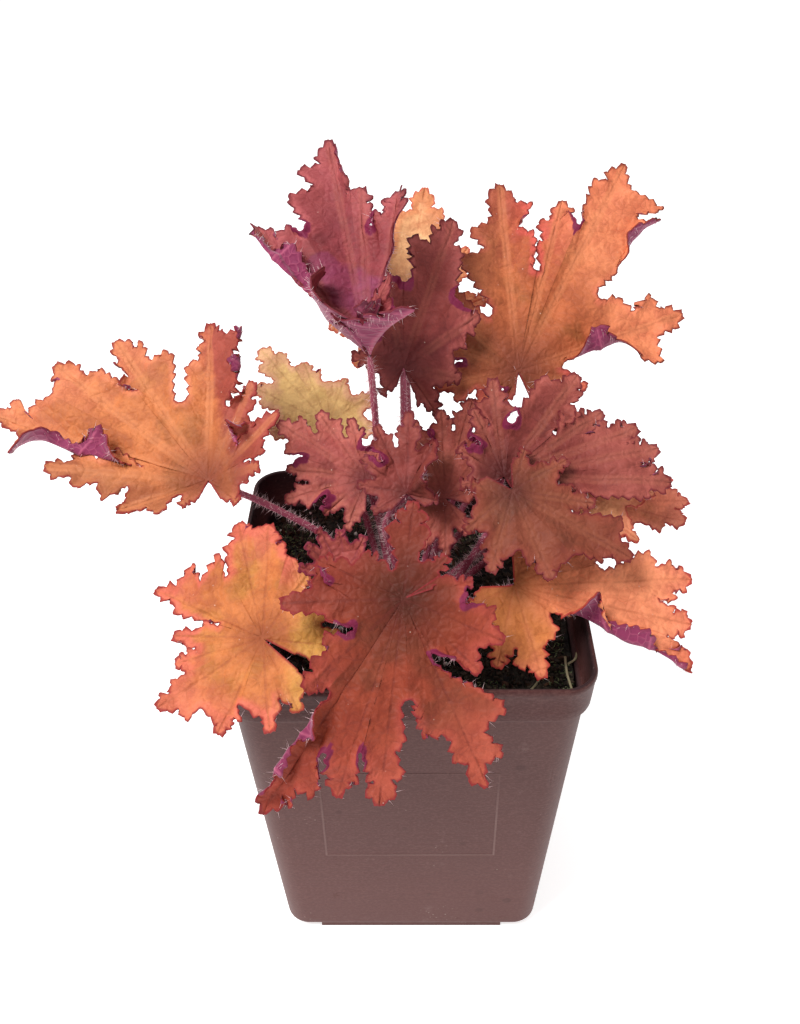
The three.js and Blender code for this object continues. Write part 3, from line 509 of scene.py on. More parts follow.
# %% Pot finish
colour = plastic.coats(
    plastic.mix(drift, paint(*POT_PAINT["dark"]), paint(*POT_PAINT["light"])), POT_PAINT,
    # The wall towards the rim: painted darker, as painted shade from the leaves above.
    upper=plastic.step(height, 0.0, 130 * MM, 0.0, 0.55),
    # The band under the rim: painted darker, as painted shade from the leaves above.
    band=plastic.step(height, (step_z - 0.1) * MM, (step_z + 0.5) * MM, 0.0, 0.75),
    line=lines * 0.4,
    grain=plastic.step(grain, 0.4, 0.7) * 0.22,
    drop=drops * 0.3,
    # The lines of the raised rectangle: painted paler, as a painted highlight.
    rubbed=rubbed * plastic.step(scuff + drift, 0.3, 0.8, 0.15, 0.4),
    scuff=scuff * 0.22,
    # The inner wall: painted darker, as painted shade inside the pot.
    inner=inner * 0.82,
    scratch=scratch * inner * 0.5,
    dirt=dirt * (inner * 0.7 + 0.12),
    speck=speck * 0.7)
relief = lines * 0.35 + drift * 0.3 - scratch * 0.4 + scuff * 0.2
pot_finish = plastic.show(
    Base_Color=colour, Roughness=0.5 + scuff * 0.14 - lines * 0.08 + dirt * 0.2,
    Normal=plastic.bump(relief, 0.00025, 0.5))
print(len(plastic.nodes), "nodes in the pot finish")

# %% Tell the inner wall from the outer one
INSIDE = {"depth": 0.75, "above_foot": 1.5}


def depth_in(x, y, half, corner):
    """How far a place lies inside a square with rounded corners."""
    dx, dy = abs(x) - half + corner, abs(y) - half + corner
    return corner - math.hypot(max(dx, 0), max(dy, 0)) - min(max(dx, dy), 0)


pot.data.materials.clear()
pot.data.materials.append(pot_finish)
inside = []
for vertex in pot.data.vertices:
    x, y, z = vertex.co / MM
    half, round_corner = wall_at(min(z, step_z))
    half += max(z - step_z, 0) / POT["band_height"] * (POT["rim_half"] - half)
    inside.append(float(depth_in(x, y, half, round_corner) > INSIDE["depth"]
                        and z > foot + INSIDE["above_foot"]))
keep_fact(pot.data, "inside", inside)
hold(pot, "pot_plastic", "pot")

# %% [markdown]
# ## The leaves
# A heuchera leaf is a palm of lobes round one stalk joint. It could be sculpted, but no two of the
# nineteen are alike, so each is charted the way it was cut: the joint, the way the blade faces,
# where the stalk is rooted and runs, and its lobes. A lobe has its angle and length, the angle and
# reach of the notch (sinus) after it, how many degrees it lifts and curls, the crests of its left
# and right margins as percent of its length and millimetres from its rib, and where a margin is
# rolled. Angles run clockwise, seen from above the blade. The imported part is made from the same
# chart, so the fine leaves lie where the plain ones lie.

# %% Leaf chart
LEAVES = [
  {
    "name": "leaf_top_right", "joint": [37, 36, 194], "faces": [12, 50],
    "root": ["inner", 112], "via": [[13, 14, 150], [27, 26, 178]],
    "lobes": [
      [-150, 14, [-140, 9]],
      [-130, 20, [-114, 16]],
      [-101, 29, [-82, 19], 0, [[78, 7]], [[82, 5]]],
      [-68, 31, [-52, 23]],
      [-46, 41, [-25, 21], 0, [[70, 4]], [[88, 7]]],
      [-2, 69, [13, 37], 0, [[58, 18], [74, 12]], [[72, 10], [88, 10]]],
      [17, 66, [24, 58], 0, [[70, 5], [84, 6]], [[92, 5]]],
      [29, 89, [48, 39], 0, [[87, 7]], [[78, 23], [89, 19]], {"roll_right": [14, 120, 0.88]}],
      [70, 63, [84, 15], 0, [[69, 13], [87, 10]], [[46, 11], [74, 14]], {"roll_right": [1, 150, 0.64]}],
      [103, 24, [122, 14]],
      [140, 20, [160, 10]],
    ],
  },
  {
    "name": "leaf_left", "joint": [-63, 0, 176], "faces": [-10, 58],
    "root": ["outer", -95], "via": [[-24, 2, 148], [-44, 2, 164]],
    "lobes": [
      [-150, 14, [-132, 10], [20, 60]],
      [-113, 30, [-100, 25], [6, 0], [[60, 9]]],
      [-88, 52, [-79, 22], [10, 0], [[62, 9], [80, 6]], [[60, 9], [84, 7]]],
      [-74, 79, [-62, 62], [0, 8], [[48, 16], [76, 14]], [[82, 9], [91, 8]], {"roll_left": [3, 150, 0.8]}],
      [-54, 68, [-41, 41], [0, 8], [], [[81, 8]]],
      [-36, 62, [-22, 29], [0, 8], [[74, 7], [86, 5]], [[74, 13], [89, 7]], {"roll_left": [3, 140]}],
      [-4, 56, [13, 25], [0, 8], [[73, 8], [88, 5]], [[68, 18], [87, 16]], {"roll_right": [11, 130]}],
      [24, 35, [40, 15], [10, 15], [], [], {"roll_left": [1, 150]}],
      [52, 32, [72, 14], [14, 20], [[58, 14]], [[62, 8]], {"roll_left": [5, 140]}],
      [84, 20, [104, 12], [20, 20]],
      [125, 13, [145, 8]],
    ],
  },
  {
    "name": "leaf_lower_left", "joint": [-43, -45, 150], "faces": [-20, 62],
    "root": ["outer", -62], "via": [[-20, -14, 133], [-34, -30, 143]],
    "lobes": [
      [148, 26, [157, 20], 0, [[80, 6]], [[80, 3]]],
      [168, 29, [192, 21], 0, [[80, 4]], [[80, 4]]],
      [198, 31, [214, 27]],
      [232, 37, [242, 25], 0, [[84, 8]], [[80, 5]]],
      [252, 28, [260, 21]],
      [271, 29, [286, 15], 0, [[82, 4]], [[65, 5]]],
      [292, 40, [324, 24], 0, [[74, 4]], [[64, 18], [82, 12]]],
      [340, 42, [347, 37], 0, [[80, 5]], []],
      [355, 38, [370, 27]],
      [388, 24, [404, 18]],
      [420, 24, [434, 18]],
      [452, 29, [474, 11], [-10, 0], [], [[86, 7]]],
    ],
  },
  {
    "name": "leaf_front", "joint": [-1, -43, 164], "faces": [0, 42],
    "root": ["outer", 0], "via": [[0, -17, 142], [-1, -30, 157]],
    "lobes": [
      [77, 21, [94, 18]],
      [113, 32, [124, 26], 0, [[80, 8]]],
      [134, 31, [153, 18], 0, [], [], {"roll_right": [1.5, 150]}],
      [156, 60, [177, 29], [0, -12], [[67, 14], [87, 8]], [[64, 11], [82, 6]]],
      [187, 61, [196, 46], [0, -12], [[68, 5], [84, 6]], [[88, 4]]],
      [199, 62, [207, 50], [0, -12], [[90, 4]], [[90, 6]]],
      [214, 76, [221, 34], [0, -12], [[82, 10], [91, 6]], [[62, 9], [80, 7]], {"roll_right": [2, 150]}],
      [228, 39, [240, 17], [8, 0]],
      [268, 36, [283, 23], [8, 0], [[55, 9]], [[68, 10]], {"roll_left": [5, 130]}],
      [294, 28, [305, 18]],
      [320, 18, [338, 9]],
      [366, 29, [386, 12], 0, [[72, 7], [87, 5]], [[72, 6], [87, 5]]],
      [406, 18, [432, 9]],
    ],
  },
  {
    "name": "leaf_top_left", "joint": [-11, 10, 215], "faces": [-20, 50],
    "root": ["inner", -113], "via": [[-9, 14, 150], [-10, 17, 185]],
    "lobes": [
      [-140, 31, [-118, 21], [115, 60]],
      [-92, 36, [-70, 19], [112, 60]],
      [-43, 56, [-30, 46], [8, 0], [[42, 18], [74, 11]], [[88, 9]], {"roll_left": [0.5, 155]}],
      [-14, 78, [-10, 57], 0, [[74, 15], [86, 11]], [[82, 5]], {"roll_right": [1, 150]}],
      [-6, 57, [-2, 42], 0, [], [[88, 3]]],
      [7, 55, [16, 24], 0, [], [[88, 5]]],
      [55, 30, [80, 14], [70, 60]],
      [106, 28, [126, 12], [90, 50]],
      [144, 22, [158, 10], [90, 60]],
    ],
  },
  {
    "name": "leaf_top_mid", "joint": [-1, 22, 204], "faces": [15, 50],
    "root": ["inner", -158], "via": [[-1, 12, 150], [-1, 18, 185]],
    "lobes": [
      [-140, 12, [-112, 9]],
      [-85, 18, [-45, 13], [15, 20]],
      [-12, 33, [0, 27], [10, 10]],
      [20, 55, [38, 29], 0, [[74, 12], [87, 6]], [[82, 6]]],
      [54, 32, [72, 17]],
      [95, 20, [112, 12], [-10, -10]],
      [130, 22, [150, 9], [-35, -20]],
    ],
  },
  {
    "name": "leaf_back_pale", "joint": [-2, 55, 200], "faces": [5, 50],
    "root": ["inner", 157], "via": [[1, 22, 150], [0, 42, 185]], "crests": 1,
    "lobes": [
      [-129, 21, [-108, 15]],
      [-86, 25, [-62, 18]],
      [-40, 36, [-15, 27]],
      [10, 54, [28, 30], 0, [[78, 8]], [[84, 8]]],
      [38, 39, [54, 24]],
      [69, 33, [92, 17]],
      [115, 20, [135, 12]],
      [155, 16, [170, 9]],
    ],
  },
  {
    "name": "leaf_back_left", "joint": [-28, 45, 168], "faces": [-15, 60],
    "root": ["outer", -128], "via": [[-14, 20, 142], [-22, 36, 160]], "crests": 1,
    "lobes": [
      [-130, 18, [-112, 13]],
      [-95, 26, [-79, 19]],
      [-62, 34, [-52, 28]],
      [-42, 43, [-32, 28]],
      [-24, 29, [-8, 17]],
      [15, 19, [34, 14]],
      [51, 21, [75, 13]],
      [100, 20, [125, 12]],
      [150, 16, [165, 9]],
    ],
  },
  {
    "name": "leaf_centre_left", "joint": [-13, 7, 171], "faces": [-8, 50],
    "root": ["inner", -68], "via": [[-8, 5, 145], [-11, 9, 160]], "crests": 1,
    "lobes": [
      [-160, 18, [-143, 12]],
      [-128, 18, [-115, 14]],
      [-103, 28, [-93, 19]],
      [-81, 27, [-71, 22]],
      [-57, 36, [-47, 23], 0, [[78, 7]], [[84, 6]]],
      [-36, 29, [-26, 16]],
      [-16, 22, [-3, 11]],
      [22, 12, [42, 9]],
      [62, 14, [88, 9]],
      [115, 14, [140, 9]],
    ],
  },
  {
    "name": "leaf_centre_mid", "joint": [0, -9, 177], "faces": [0, 45],
    "root": ["inner", -23], "via": [[-4, -6, 145], [-7, -5, 162]], "crests": 1,
    "lobes": [
      [-118, 12, [-98, 9]],
      [-78, 16, [-64, 11]],
      [-50, 18, [-38, 13]],
      [-24, 24, [-12, 15]],
      [2, 26, [14, 14]],
      [28, 19, [44, 11]],
      [62, 14, [82, 9], [50, 60]],
      [105, 11, [130, 8], [20, 0]],
    ],
  },
  {
    "name": "leaf_centre", "joint": [12, -2, 170], "faces": [5, 46],
    "root": ["inner", 22], "via": [[5, -7, 145], [9, -4, 162]], "crests": 1,
    "lobes": [
      [-212, 14, [-196, 10]],
      [-180, 19, [-168, 13]],
      [-155, 18, [-132, 11]],
      [-105, 12, [-80, 9]],
      [-50, 18, [-35, 13]],
      [-21, 27, [-12, 18]],
      [-1, 29, [8, 22]],
      [16, 34, [26, 22]],
      [38, 20, [60, 12]],
      [80, 11, [105, 8]],
    ],
  },
  {
    "name": "leaf_upper_right", "joint": [30, -6, 181], "faces": [8, 50],
    "root": ["inner", 67], "via": [[13, 2, 145], [26, 4, 164]],
    "lobes": [
      [-100, 14, [-78, 10]],
      [-55, 17, [-38, 12]],
      [-22, 24, [-14, 17]],
      [-4, 32, [8, 17], 0, [[75, 6]], []],
      [37, 42, [50, 21], 0, [[80, 9]], [[73, 8], [88, 5]]],
      [57, 39, [63, 31]],
      [70, 46, [75, 41]],
      [80, 50, [85, 44]],
      [92, 53, [106, 24], 0, [], [[84, 6]]],
      [128, 20, [150, 11]],
    ],
  },
  {
    "name": "leaf_lower_right", "joint": [32, -13, 181], "faces": [12, 52],
    "root": ["outer", 70], "via": [[18, -6, 143], [28, -7, 165]],
    "lobes": [
      [20, 14, [38, 10]],
      [62, 20, [82, 14]],
      [100, 26, [110, 19]],
      [121, 42, [142, 27], 0, [[80, 9]], [[80, 6]]],
      [160, 30, [178, 19]],
      [198, 27, [213, 16]],
      [230, 20, [252, 12]],
      [278, 13, [300, 9]],
    ],
  },
  {
    "name": "leaf_right_front", "joint": [33, -26, 154], "faces": [15, 55],
    "root": ["outer", 38], "via": [[13, -14, 133], [25, -20, 144]],
    "lobes": [
      [20, 20, [42, 14]],
      [66, 34, [77, 27]],
      [89, 58, [97, 46], 0, [[76, 9], [89, 6]]],
      [104, 57, [110, 50], 0, [[88, 4]]],
      [116, 61, [131, 14], 0, [[88, 5]], [[38, 12], [72, 8]], {"roll_right": [0.3, 150]}],
      [168, 30, [184, 20], 0, [[56, 9]], [[82, 7]]],
      [197, 27, [216, 17]],
      [245, 18, [268, 11]],
    ],
  },
  {
    "name": "leaf_right_orange", "joint": [53, -2, 171], "faces": [25, 60],
    "root": ["outer", 100], "via": [[28, -1, 145], [44, 0, 161]], "crests": 1,
    "lobes": [
      [0, 12, [22, 9]],
      [48, 15, [64, 11]],
      [77, 19, [83, 16]],
      [91, 27, [108, 17]],
      [131, 25, [150, 12]],
      [170, 14, [195, 9]],
    ],
  },
  {
    "name": "leaf_right_coral", "joint": [62, 18, 154], "faces": [25, 60],
    "root": ["outer", 130], "via": [[24, 12, 135], [46, 17, 147]], "crests": 1,
    "lobes": [
      [-20, 14, [5, 10]],
      [35, 20, [54, 15]],
      [76, 33, [83, 28]],
      [92, 36, [97, 31]],
      [104, 35, [125, 17]],
      [150, 17, [172, 10]],
    ],
  },
  {
    "name": "leaf_back_right", "joint": [32, 38, 158], "faces": [150, 62],
    "root": ["outer", 160], "via": [[14, 22, 136], [24, 34, 148]], "crests": 1,
    "lobes": [
      [-150, 19, [-128, 13]],
      [-95, 25, [-70, 17]],
      [-38, 21, [-12, 14]],
      [15, 22, [35, 15]],
      [62, 28, [84, 19]],
      [108, 25, [128, 17]],
      [150, 18, [165, 12]],
    ],
  },
  {
    "name": "leaf_back_low", "joint": [-6, 44, 150], "faces": [190, 60],
    "root": ["outer", -160], "via": [[-4, 22, 135], [-5, 34, 146]], "crests": 1,
    "lobes": [
      [-145, 17, [-118, 11]],
      [-85, 22, [-60, 15]],
      [-25, 20, [0, 14]],
      [32, 21, [56, 14]],
      [88, 22, [112, 15]],
      [138, 17, [158, 11]],
    ],
  },
  {
    "name": "leaf_small", "joint": [-19, -32, 164], "faces": [-10, 60],
    "root": ["outer", -30], "via": [[-9, -14, 138], [-15, -24, 153]], "crests": 1,
    "lobes": [
      [-120, 12, [-105, 9], [15, 30]],
      [-90, 14, [-74, 10], [15, 30]],
      [-58, 16, [-45, 11], [15, 30]],
      [-32, 16, [-18, 11], [15, 30]],
      [-3, 14, [15, 10], [15, 30]],
      [34, 14, [55, 9], [15, 30]],
      [76, 13, [100, 8], [15, 30]],
    ],
  },
]
CRESTS = 2
print(len(LEAVES), "leaves,", sum(len(leaf["lobes"]) for leaf in LEAVES), "lobes")

# %% Lobes and their margins
SHOULDER = {"share": 0.93, "past": 0.6, "reach": 0.075, "least": 1.5, "most": 4.6}
NOTCH = {"along": 0.3, "depth": 0.55, "near": 0.6}
BASAL = {"turn": 20, "reach": 0.6}
VEIN = {"lean": 0.55, "palm_lean": 0.25, "least": 0.1, "gap": 0.025}
CREST_GAP, LATE_CREST = 0.03, 0.5
PLAIN_CRESTS = {1: [0.5], 2: [0.35, 0.68]}
PLAIN_REACH = {"least": 0.05, "grows": 0.34, "power": 0.8}
ROLL_UNTIL = 2
CURLS_ABOVE = 0.3
FLAT_SINUSES = ("leaf_lower_left", "leaf_left", "leaf_right_front", "leaf_right_orange",
                "leaf_right_coral", "leaf_back_pale", "leaf_back_left", "leaf_lower_right")


def polar(angle, reach):
    """A place on the flat blade from its angle and its distance to the stalk joint."""
    return np.array([reach * math.sin(angle * RAD), reach * math.cos(angle * RAD)])


def crests_of(length, start, stated, count):
    """Crests as share of the lobe's length and reach from its rib: charted ones or plain ones."""
    if stated:
        return [(percent / 100, reach) for percent, reach in stated[:count]]
    free = 1 - start
    return [(start + free * at, length * (PLAIN_REACH["least"] + PLAIN_REACH["grows"]
                                          * (free * (1 - at)) ** PLAIN_REACH["power"]))
            for at in PLAIN_CRESTS[count]]


def margin_of(lobe, sinus, stated, count):
    """One side of a lobe from its sinus to its tip, as share of length and reach from the rib."""
    tip, length = polar(lobe["angle"], 1), lobe["length"]
    start = (float(sinus @ tip) / length, abs(sinus[0] * tip[1] - sinus[1] * tip[0]))
    reach = min(max(SHOULDER["reach"] * length, SHOULDER["least"]), SHOULDER["most"])
    shoulder = (max(SHOULDER["share"], start[0] + SHOULDER["past"] * (1 - start[0])),
                min(reach, start[1]))
    crests = [crest for crest in crests_of(length, start[0], stated, count)
              if start[0] + CREST_GAP < crest[0] < shoulder[0]]
    knots = []
    for i, (share, reach) in enumerate(crests):
        after = crests[i + 1] if i + 1 < len(crests) else shoulder
        knots += [(share, reach),
                  (share + NOTCH["along"] * (after[0] - share),
                   NOTCH["depth"] * (reach * NOTCH["near"] + after[1] * (1 - NOTCH["near"])))]

    def between(one, two, t):
        return one[0] + t * (two[0] - one[0]), one[1] + t * (two[1] - one[1])

    while len(knots) < 2 * count:
        if knots and knots[0][0] - start[0] > LATE_CREST * (1 - start[0]):
            knots.insert(0, between(start, knots[0], 2 / 3))
            knots.insert(0, between(start, knots[0], 1 / 2))
        else:
            last = knots[-1] if knots else start
            knots += [between(last, shoulder, 1 / 3), between(last, shoulder, 2 / 3)]
    return [start, *knots, shoulder, (1.0, 0.0)]


print("a plain lobe has crests at", PLAIN_CRESTS[CRESTS], "of its free length")

# %% Veins and the whole leaf
def vein_shares(length, left, right):
    """Where on the rib the veins to each crest and notch start."""
    shares = []
    for row, (one, two) in enumerate(zip(left, right)):
        share, reach = (one[0] + two[0]) / 2, (one[1] + two[1]) / 2
        lean = VEIN["palm_lean"] * share if row == 0 else VEIN["lean"] * reach / length
        least = VEIN["least"] if row == 0 else shares[-1] + VEIN["gap"]
        shares.append(min(max(share - lean, least), 1 - VEIN["gap"] * (len(left) - 1 - row)))
    return shares


def read_leaf(chart):
    """The chart of one leaf with its lobes' margins, veins and curled sinuses worked out."""
    leaf = {"crests": CRESTS, **chart, "lobes": []}
    for angle, length, sinus, *rest in chart["lobes"]:
        bend, left, right, rolls = (*rest, *[0, [], [], {}][len(rest):])
        leaf["lobes"].append({
            "angle": angle, "length": length, "sinus": polar(*sinus), "bend": bend or [0, 0],
            "stated": (left, right),
            "rolls": [(*rolls.get(way, (0, 0)), ROLL_UNTIL)[:3]
                      for way in ("roll_left", "roll_right")]})
    lobes = leaf["lobes"]
    leaf["radius"] = max(lobe["length"] for lobe in lobes)
    for i, lobe in enumerate(lobes):
        before = lobes[i - 1]["sinus"] if i else polar(
            lobe["angle"] - BASAL["turn"], BASAL["reach"] * lobe["length"])
        lobe["margins"] = [margin_of(lobe, at, stated, leaf["crests"])
                           for at, stated in zip((before, lobe["sinus"]), lobe["stated"])]
        lobe["veins"] = vein_shares(lobe["length"], *lobe["margins"])
    for i, lobe in enumerate(lobes):
        first, last = lobe["margins"][0][0][1], lobe["margins"][1][0][1]
        met_left = lobes[i - 1]["margins"][1][0][1] if i else first
        met_right = lobes[i + 1]["margins"][0][0][1] if i + 1 < len(lobes) else last
        lobe["evened"] = ((met_left - first) / 2, (met_right - last) / 2)
        curl = float(chance.uniform(-1.0, 1.0))
        curled = curl > CURLS_ABOVE and leaf["name"] not in FLAT_SINUSES
        lobe["sinus_curl"] = (lobes[i - 1]["sinus_curl"][1] if i else 0.0,
                              0.5 + curl / 2 if curled else 0.0)
    return leaf


print("lobes of the largest leaf:", len(read_leaf(LEAVES[0])["lobes"]))

# %% [markdown]
# A flat point of the blade is folded along its midrib, rippled, rolled where its margin rolls,
# and last bent by the lift and curl of its lobe. The sums work on whole arrays of points.

# %% Blade shape
BLADE = {"fold": 0.14, "ripple": 1.2, "waves": 5, "rib_bed": 1.6}
ROLL = {"radius": 1.3, "grows": 0.18}
TINY = 1e-6


def bend_points(leaf, x, y, height):
    """Places in space of flat points, lifted and curled as their lobes are."""
    lobes = leaf["lobes"]
    angles = [lobe["angle"] for lobe in lobes]
    middle = (angles[0] + angles[-1]) / 2 - 180
    angle = (np.degrees(np.arctan2(x, y)) - middle) % 360 + middle
    start = np.interp(angle, angles, [lobe["bend"][0] for lobe in lobes]) * RAD
    rate = np.interp(angle, angles, [lobe["bend"][1] for lobe in lobes]) * RAD / leaf["radius"]
    reach = np.maximum(np.hypot(x, y), TINY)
    end = start + rate * reach
    straight = np.abs(rate) < TINY
    safe = np.where(straight, 1, rate)
    along = np.where(straight, reach * np.cos(start), (np.sin(end) - np.sin(start)) / safe)
    rise = np.where(straight, reach * np.sin(start), (np.cos(start) - np.cos(end)) / safe)
    out = along - height * np.sin(end)
    return np.stack([out * x / reach, out * y / reach, rise + height * np.cos(end)], axis=-1)


def roll_across(offset, start, turn):
    """How far out and how high a point comes where the margin rolls up from `start`."""
    radius = ROLL["radius"]
    past = np.maximum(offset - start, 0)
    angle = np.minimum(past / radius, turn)
    rest = np.maximum(past - radius * turn, 0)
    return (np.minimum(offset, start) + radius * np.sin(angle) + rest * np.cos(angle),
            radius * (1 - np.cos(angle)) + rest * np.sin(angle))


def place_on_lobe(leaf, lobe, side, x, y, extra):
    """Places in space of flat points on one side of a lobe."""
    tip = polar(lobe["angle"], 1)
    along, offset = x * tip[0] + y * tip[1], np.abs(x * tip[1] - y * tip[0])
    which = 0 if side < 0 else 1
    start, turn, until = lobe["rolls"][which]
    share = along / lobe["length"]
    into = np.minimum(share - lobe["margins"][which][0][0], until - share)
    grown = np.clip(into / ROLL["grows"], 0, 1)
    across, lifted = roll_across(offset, start, turn * RAD * grown) if turn else (offset, 0)
    ripple = BLADE["ripple"] * (np.hypot(x, y) / leaf["radius"]) ** 2 * np.sin(
        BLADE["waves"] * np.arctan2(x, y))
    return bend_points(leaf, along * tip[0] + side * across * tip[1],
                       along * tip[1] - side * across * tip[0],
                       lifted + BLADE["fold"] * (np.hypot(offset, BLADE["rib_bed"])
                                                 - BLADE["rib_bed"]) + ripple + extra)


print("a fold of 10 mm lifts", BLADE["fold"] * 10, "mm")

# %% [markdown]
# A heuchera's margin is a run of small scallops, each with one short point. The margin is a soft
# curve through the charted knots, and the scallops are pushed out from it. They fade out towards
# the sinus and at the very tip, and no two are quite the same size.

# %% Toothed margins
TOOTH = {"spacing": 3.5, "size": 0.95, "forward": 0.4, "sinus_fade": 5.0, "tip_fade": 0.8,
         "smallest": 0.55, "largest": 1.25, "look_ahead": 0.4}
TOOTH_TURNS = [0, 0.16, 0.38, 0.54, 0.7, 0.88, 1]
TOOTH_RISES = [-0.8, 0.1, 0.6, 1.25, 0.5, 0.1, -0.8]
MOST_PULL = 18.0
SAMPLES = 16


def soft_curve(knots, pull):
    """Close points on a curve through the knots, and the length run at each point and knot."""
    steps = np.diff(knots, axis=0)
    spans = np.maximum(np.hypot(steps[:, 0], steps[:, 1]), TINY)
    pull = pull * min(MOST_PULL, spans[0])
    ways = np.empty_like(knots)
    ways[1:-1] = (knots[2:] - knots[:-2]) / (spans[1:] + spans[:-1])[:, None]
    ways[0], ways[-1] = pull / spans[0], steps[-1] / spans[-1]
    t = np.linspace(0, 1, SAMPLES, endpoint=False)[None, :, None]
    span = spans[:, None, None]
    one, two = knots[:-1][:, None], knots[1:][:, None]
    line = ((2 * t ** 3 - 3 * t ** 2 + 1) * one + (t ** 3 - 2 * t ** 2 + t) * span
            * ways[:-1][:, None] + (3 * t ** 2 - 2 * t ** 3) * two
            + (t ** 3 - t ** 2) * span * ways[1:][:, None]).reshape(-1, 2)
    line = np.vstack([line, knots[-1]])
    run = np.concatenate([[0], np.cumsum(np.hypot(*np.diff(line, axis=0).T))])
    return line, run, run[::SAMPLES]


def toothed(line, run, at, side, fine):
    """Margin points at the given lengths, and how far each is pushed out."""
    total = run[-1]
    count = max(2, round(total / (TOOTH["spacing"] * fine)))
    sizes = chance.uniform(TOOTH["smallest"], TOOTH["largest"], count + 1)
    turn = at / total * count
    rise = np.interp(turn % 1, TOOTH_TURNS, TOOTH_RISES) * sizes[turn.astype(int)]
    fade = np.clip(at / TOOTH["sinus_fade"], 0, 1) * np.clip(
        (total - at) / TOOTH["tip_fade"], 0, 1)
    push = rise * fade * TOOTH["size"] * fine
    back, points, front = (
        np.stack([np.interp(at + shift, run, line[:, axis]) for axis in (0, 1)], axis=-1)
        for shift in (-TOOTH["look_ahead"], 0, TOOTH["look_ahead"]))
    ahead = front - back
    ahead /= np.maximum(np.hypot(*ahead.T), TINY)[:, None]
    outward = side * np.stack([ahead[:, 1], -ahead[:, 0]], axis=-1)
    return points, (outward + TOOTH["forward"] * ahead) * push[:, None]


print("scallops", TOOTH["spacing"], "mm apart")

# %% [markdown]
# An outline filled with triangles would fold badly, so every side of a lobe is a grid. Its rows
# run from the midrib to the margin, and its columns from the stalk joint to the tip. Neighbouring
# lobes share the line from the joint to their sinus, so the blade is one skin. Each point also
# keeps facts for the shader: its place on the flat blade, its distance to the nearest vein, to the
# margin and to its rib, how far out it lies on the leaf and on its lobe, and whether its sinus is
# curled up.

# %% Blade grid
ACROSS = np.array([0, 0.1, 0.24, 0.4, 0.56, 0.7, 0.82, 0.91, 0.965, 1])
ACROSS_ROLLED = np.linspace(0, 1, 17)
PALM_ROWS = np.linspace(0, 1, 11)[1:]
ROW_SPACING = 0.6
SINUS = {"reach": 6.0, "rim": 2.0, "lift": 3.0}
PUSHED = {"from": 0.78, "over": 0.22}
PALM_FADE = 8
SIDE_VEIN = {"until": 0.94, "thinner": 0.3}
SMALL_TEETH = 0.8
FAR = 20
FACTS = ("vein", "edge", "out", "tip", "rib", "sinus")


def row_turns(lobe, runs):
    """Rows as fractions of the knot count, close enough for the longer side's scallops."""
    turns = [0.0]
    for knot in range(len(lobe["veins"]) - 1):
        longest = max(run[knot + 1] - run[knot] for run in runs)
        count = max(1, math.ceil(longest / ROW_SPACING))
        turns += [knot + (i + 1) / count for i in range(count)]
    return np.array(turns)


print("points across half a lobe:", len(ACROSS), "or, where it is rolled,", len(ACROSS_ROLLED))

# %% Distances on the blade
def to_segment(points, one, two):
    """How far points lie from the line between two places."""
    way = two - one
    share = np.clip(((points - one) @ way) / max(way @ way, TINY), 0, 1)
    return np.hypot(*(points - one - share[..., None] * way).T).T


def edge_distance(rows, rib, across, is_open):
    """How far each point of a grid lies from the margin, in the palm and in the lobe."""
    width = np.hypot(*(rows[:, -1] - rib).T)
    in_palm = (1 - across)[None] * width[0] * PALM_ROWS[:-1, None] + (
        0 if is_open else (1 - PALM_ROWS[:-1, None]) * np.hypot(*rows[0, -1]))
    return np.concatenate([in_palm, (1 - across)[None] * width[:, None]])


def vein_distance(grid, lobe, which, tip, out_of_rib):
    """How far each point lies from its rib, and from the nearest vein of any kind."""
    ribs_off = np.abs(grid @ out_of_rib)
    veins = ribs_off
    for row in range(1, len(lobe["veins"]) - 1, 2):
        share, reach = lobe["margins"][which][row]
        start = lobe["length"] * lobe["veins"][row] * tip
        end = lobe["length"] * share * tip + reach * SIDE_VEIN["until"] * out_of_rib
        veins = np.minimum(veins, to_segment(grid, start, end) + SIDE_VEIN["thinner"])
    return ribs_off, veins


print("side veins end at", SIDE_VEIN["until"], "of the way to their crest")

# %% One side of a lobe
class Skin:
    """Points and faces of a blade's middle surface, gathered lobe by lobe."""

    def __init__(self):
        self.place, self.flat, self.facts, self.faces, self.count = [], [], [], [], 0

    def keep(self, place, flat, facts):
        self.place.append(place.reshape(-1, 3))
        self.flat.append(flat.reshape(-1, 2))
        self.facts.append(facts.reshape(-1, facts.shape[-1]))
        first = self.count
        self.count += len(self.place[-1])
        return np.arange(first, self.count)


def faces_of(index, side):
    """Quads over a grid of point numbers, and the fan that joins its first row to the joint."""
    one, two = index[:-1, :-1], index[1:, :-1]
    three, four = index[1:, 1:], index[:-1, 1:]
    quads = np.stack([one, two, three, four] if side < 0 else [one, four, three, two], axis=-1)
    ends = [index[0, :-1], index[0, 1:]][::-side]
    hub = np.zeros_like(index[0, :-1])
    return [quads.reshape(-1, 4), np.stack([hub, *ends, hub], axis=-1)]


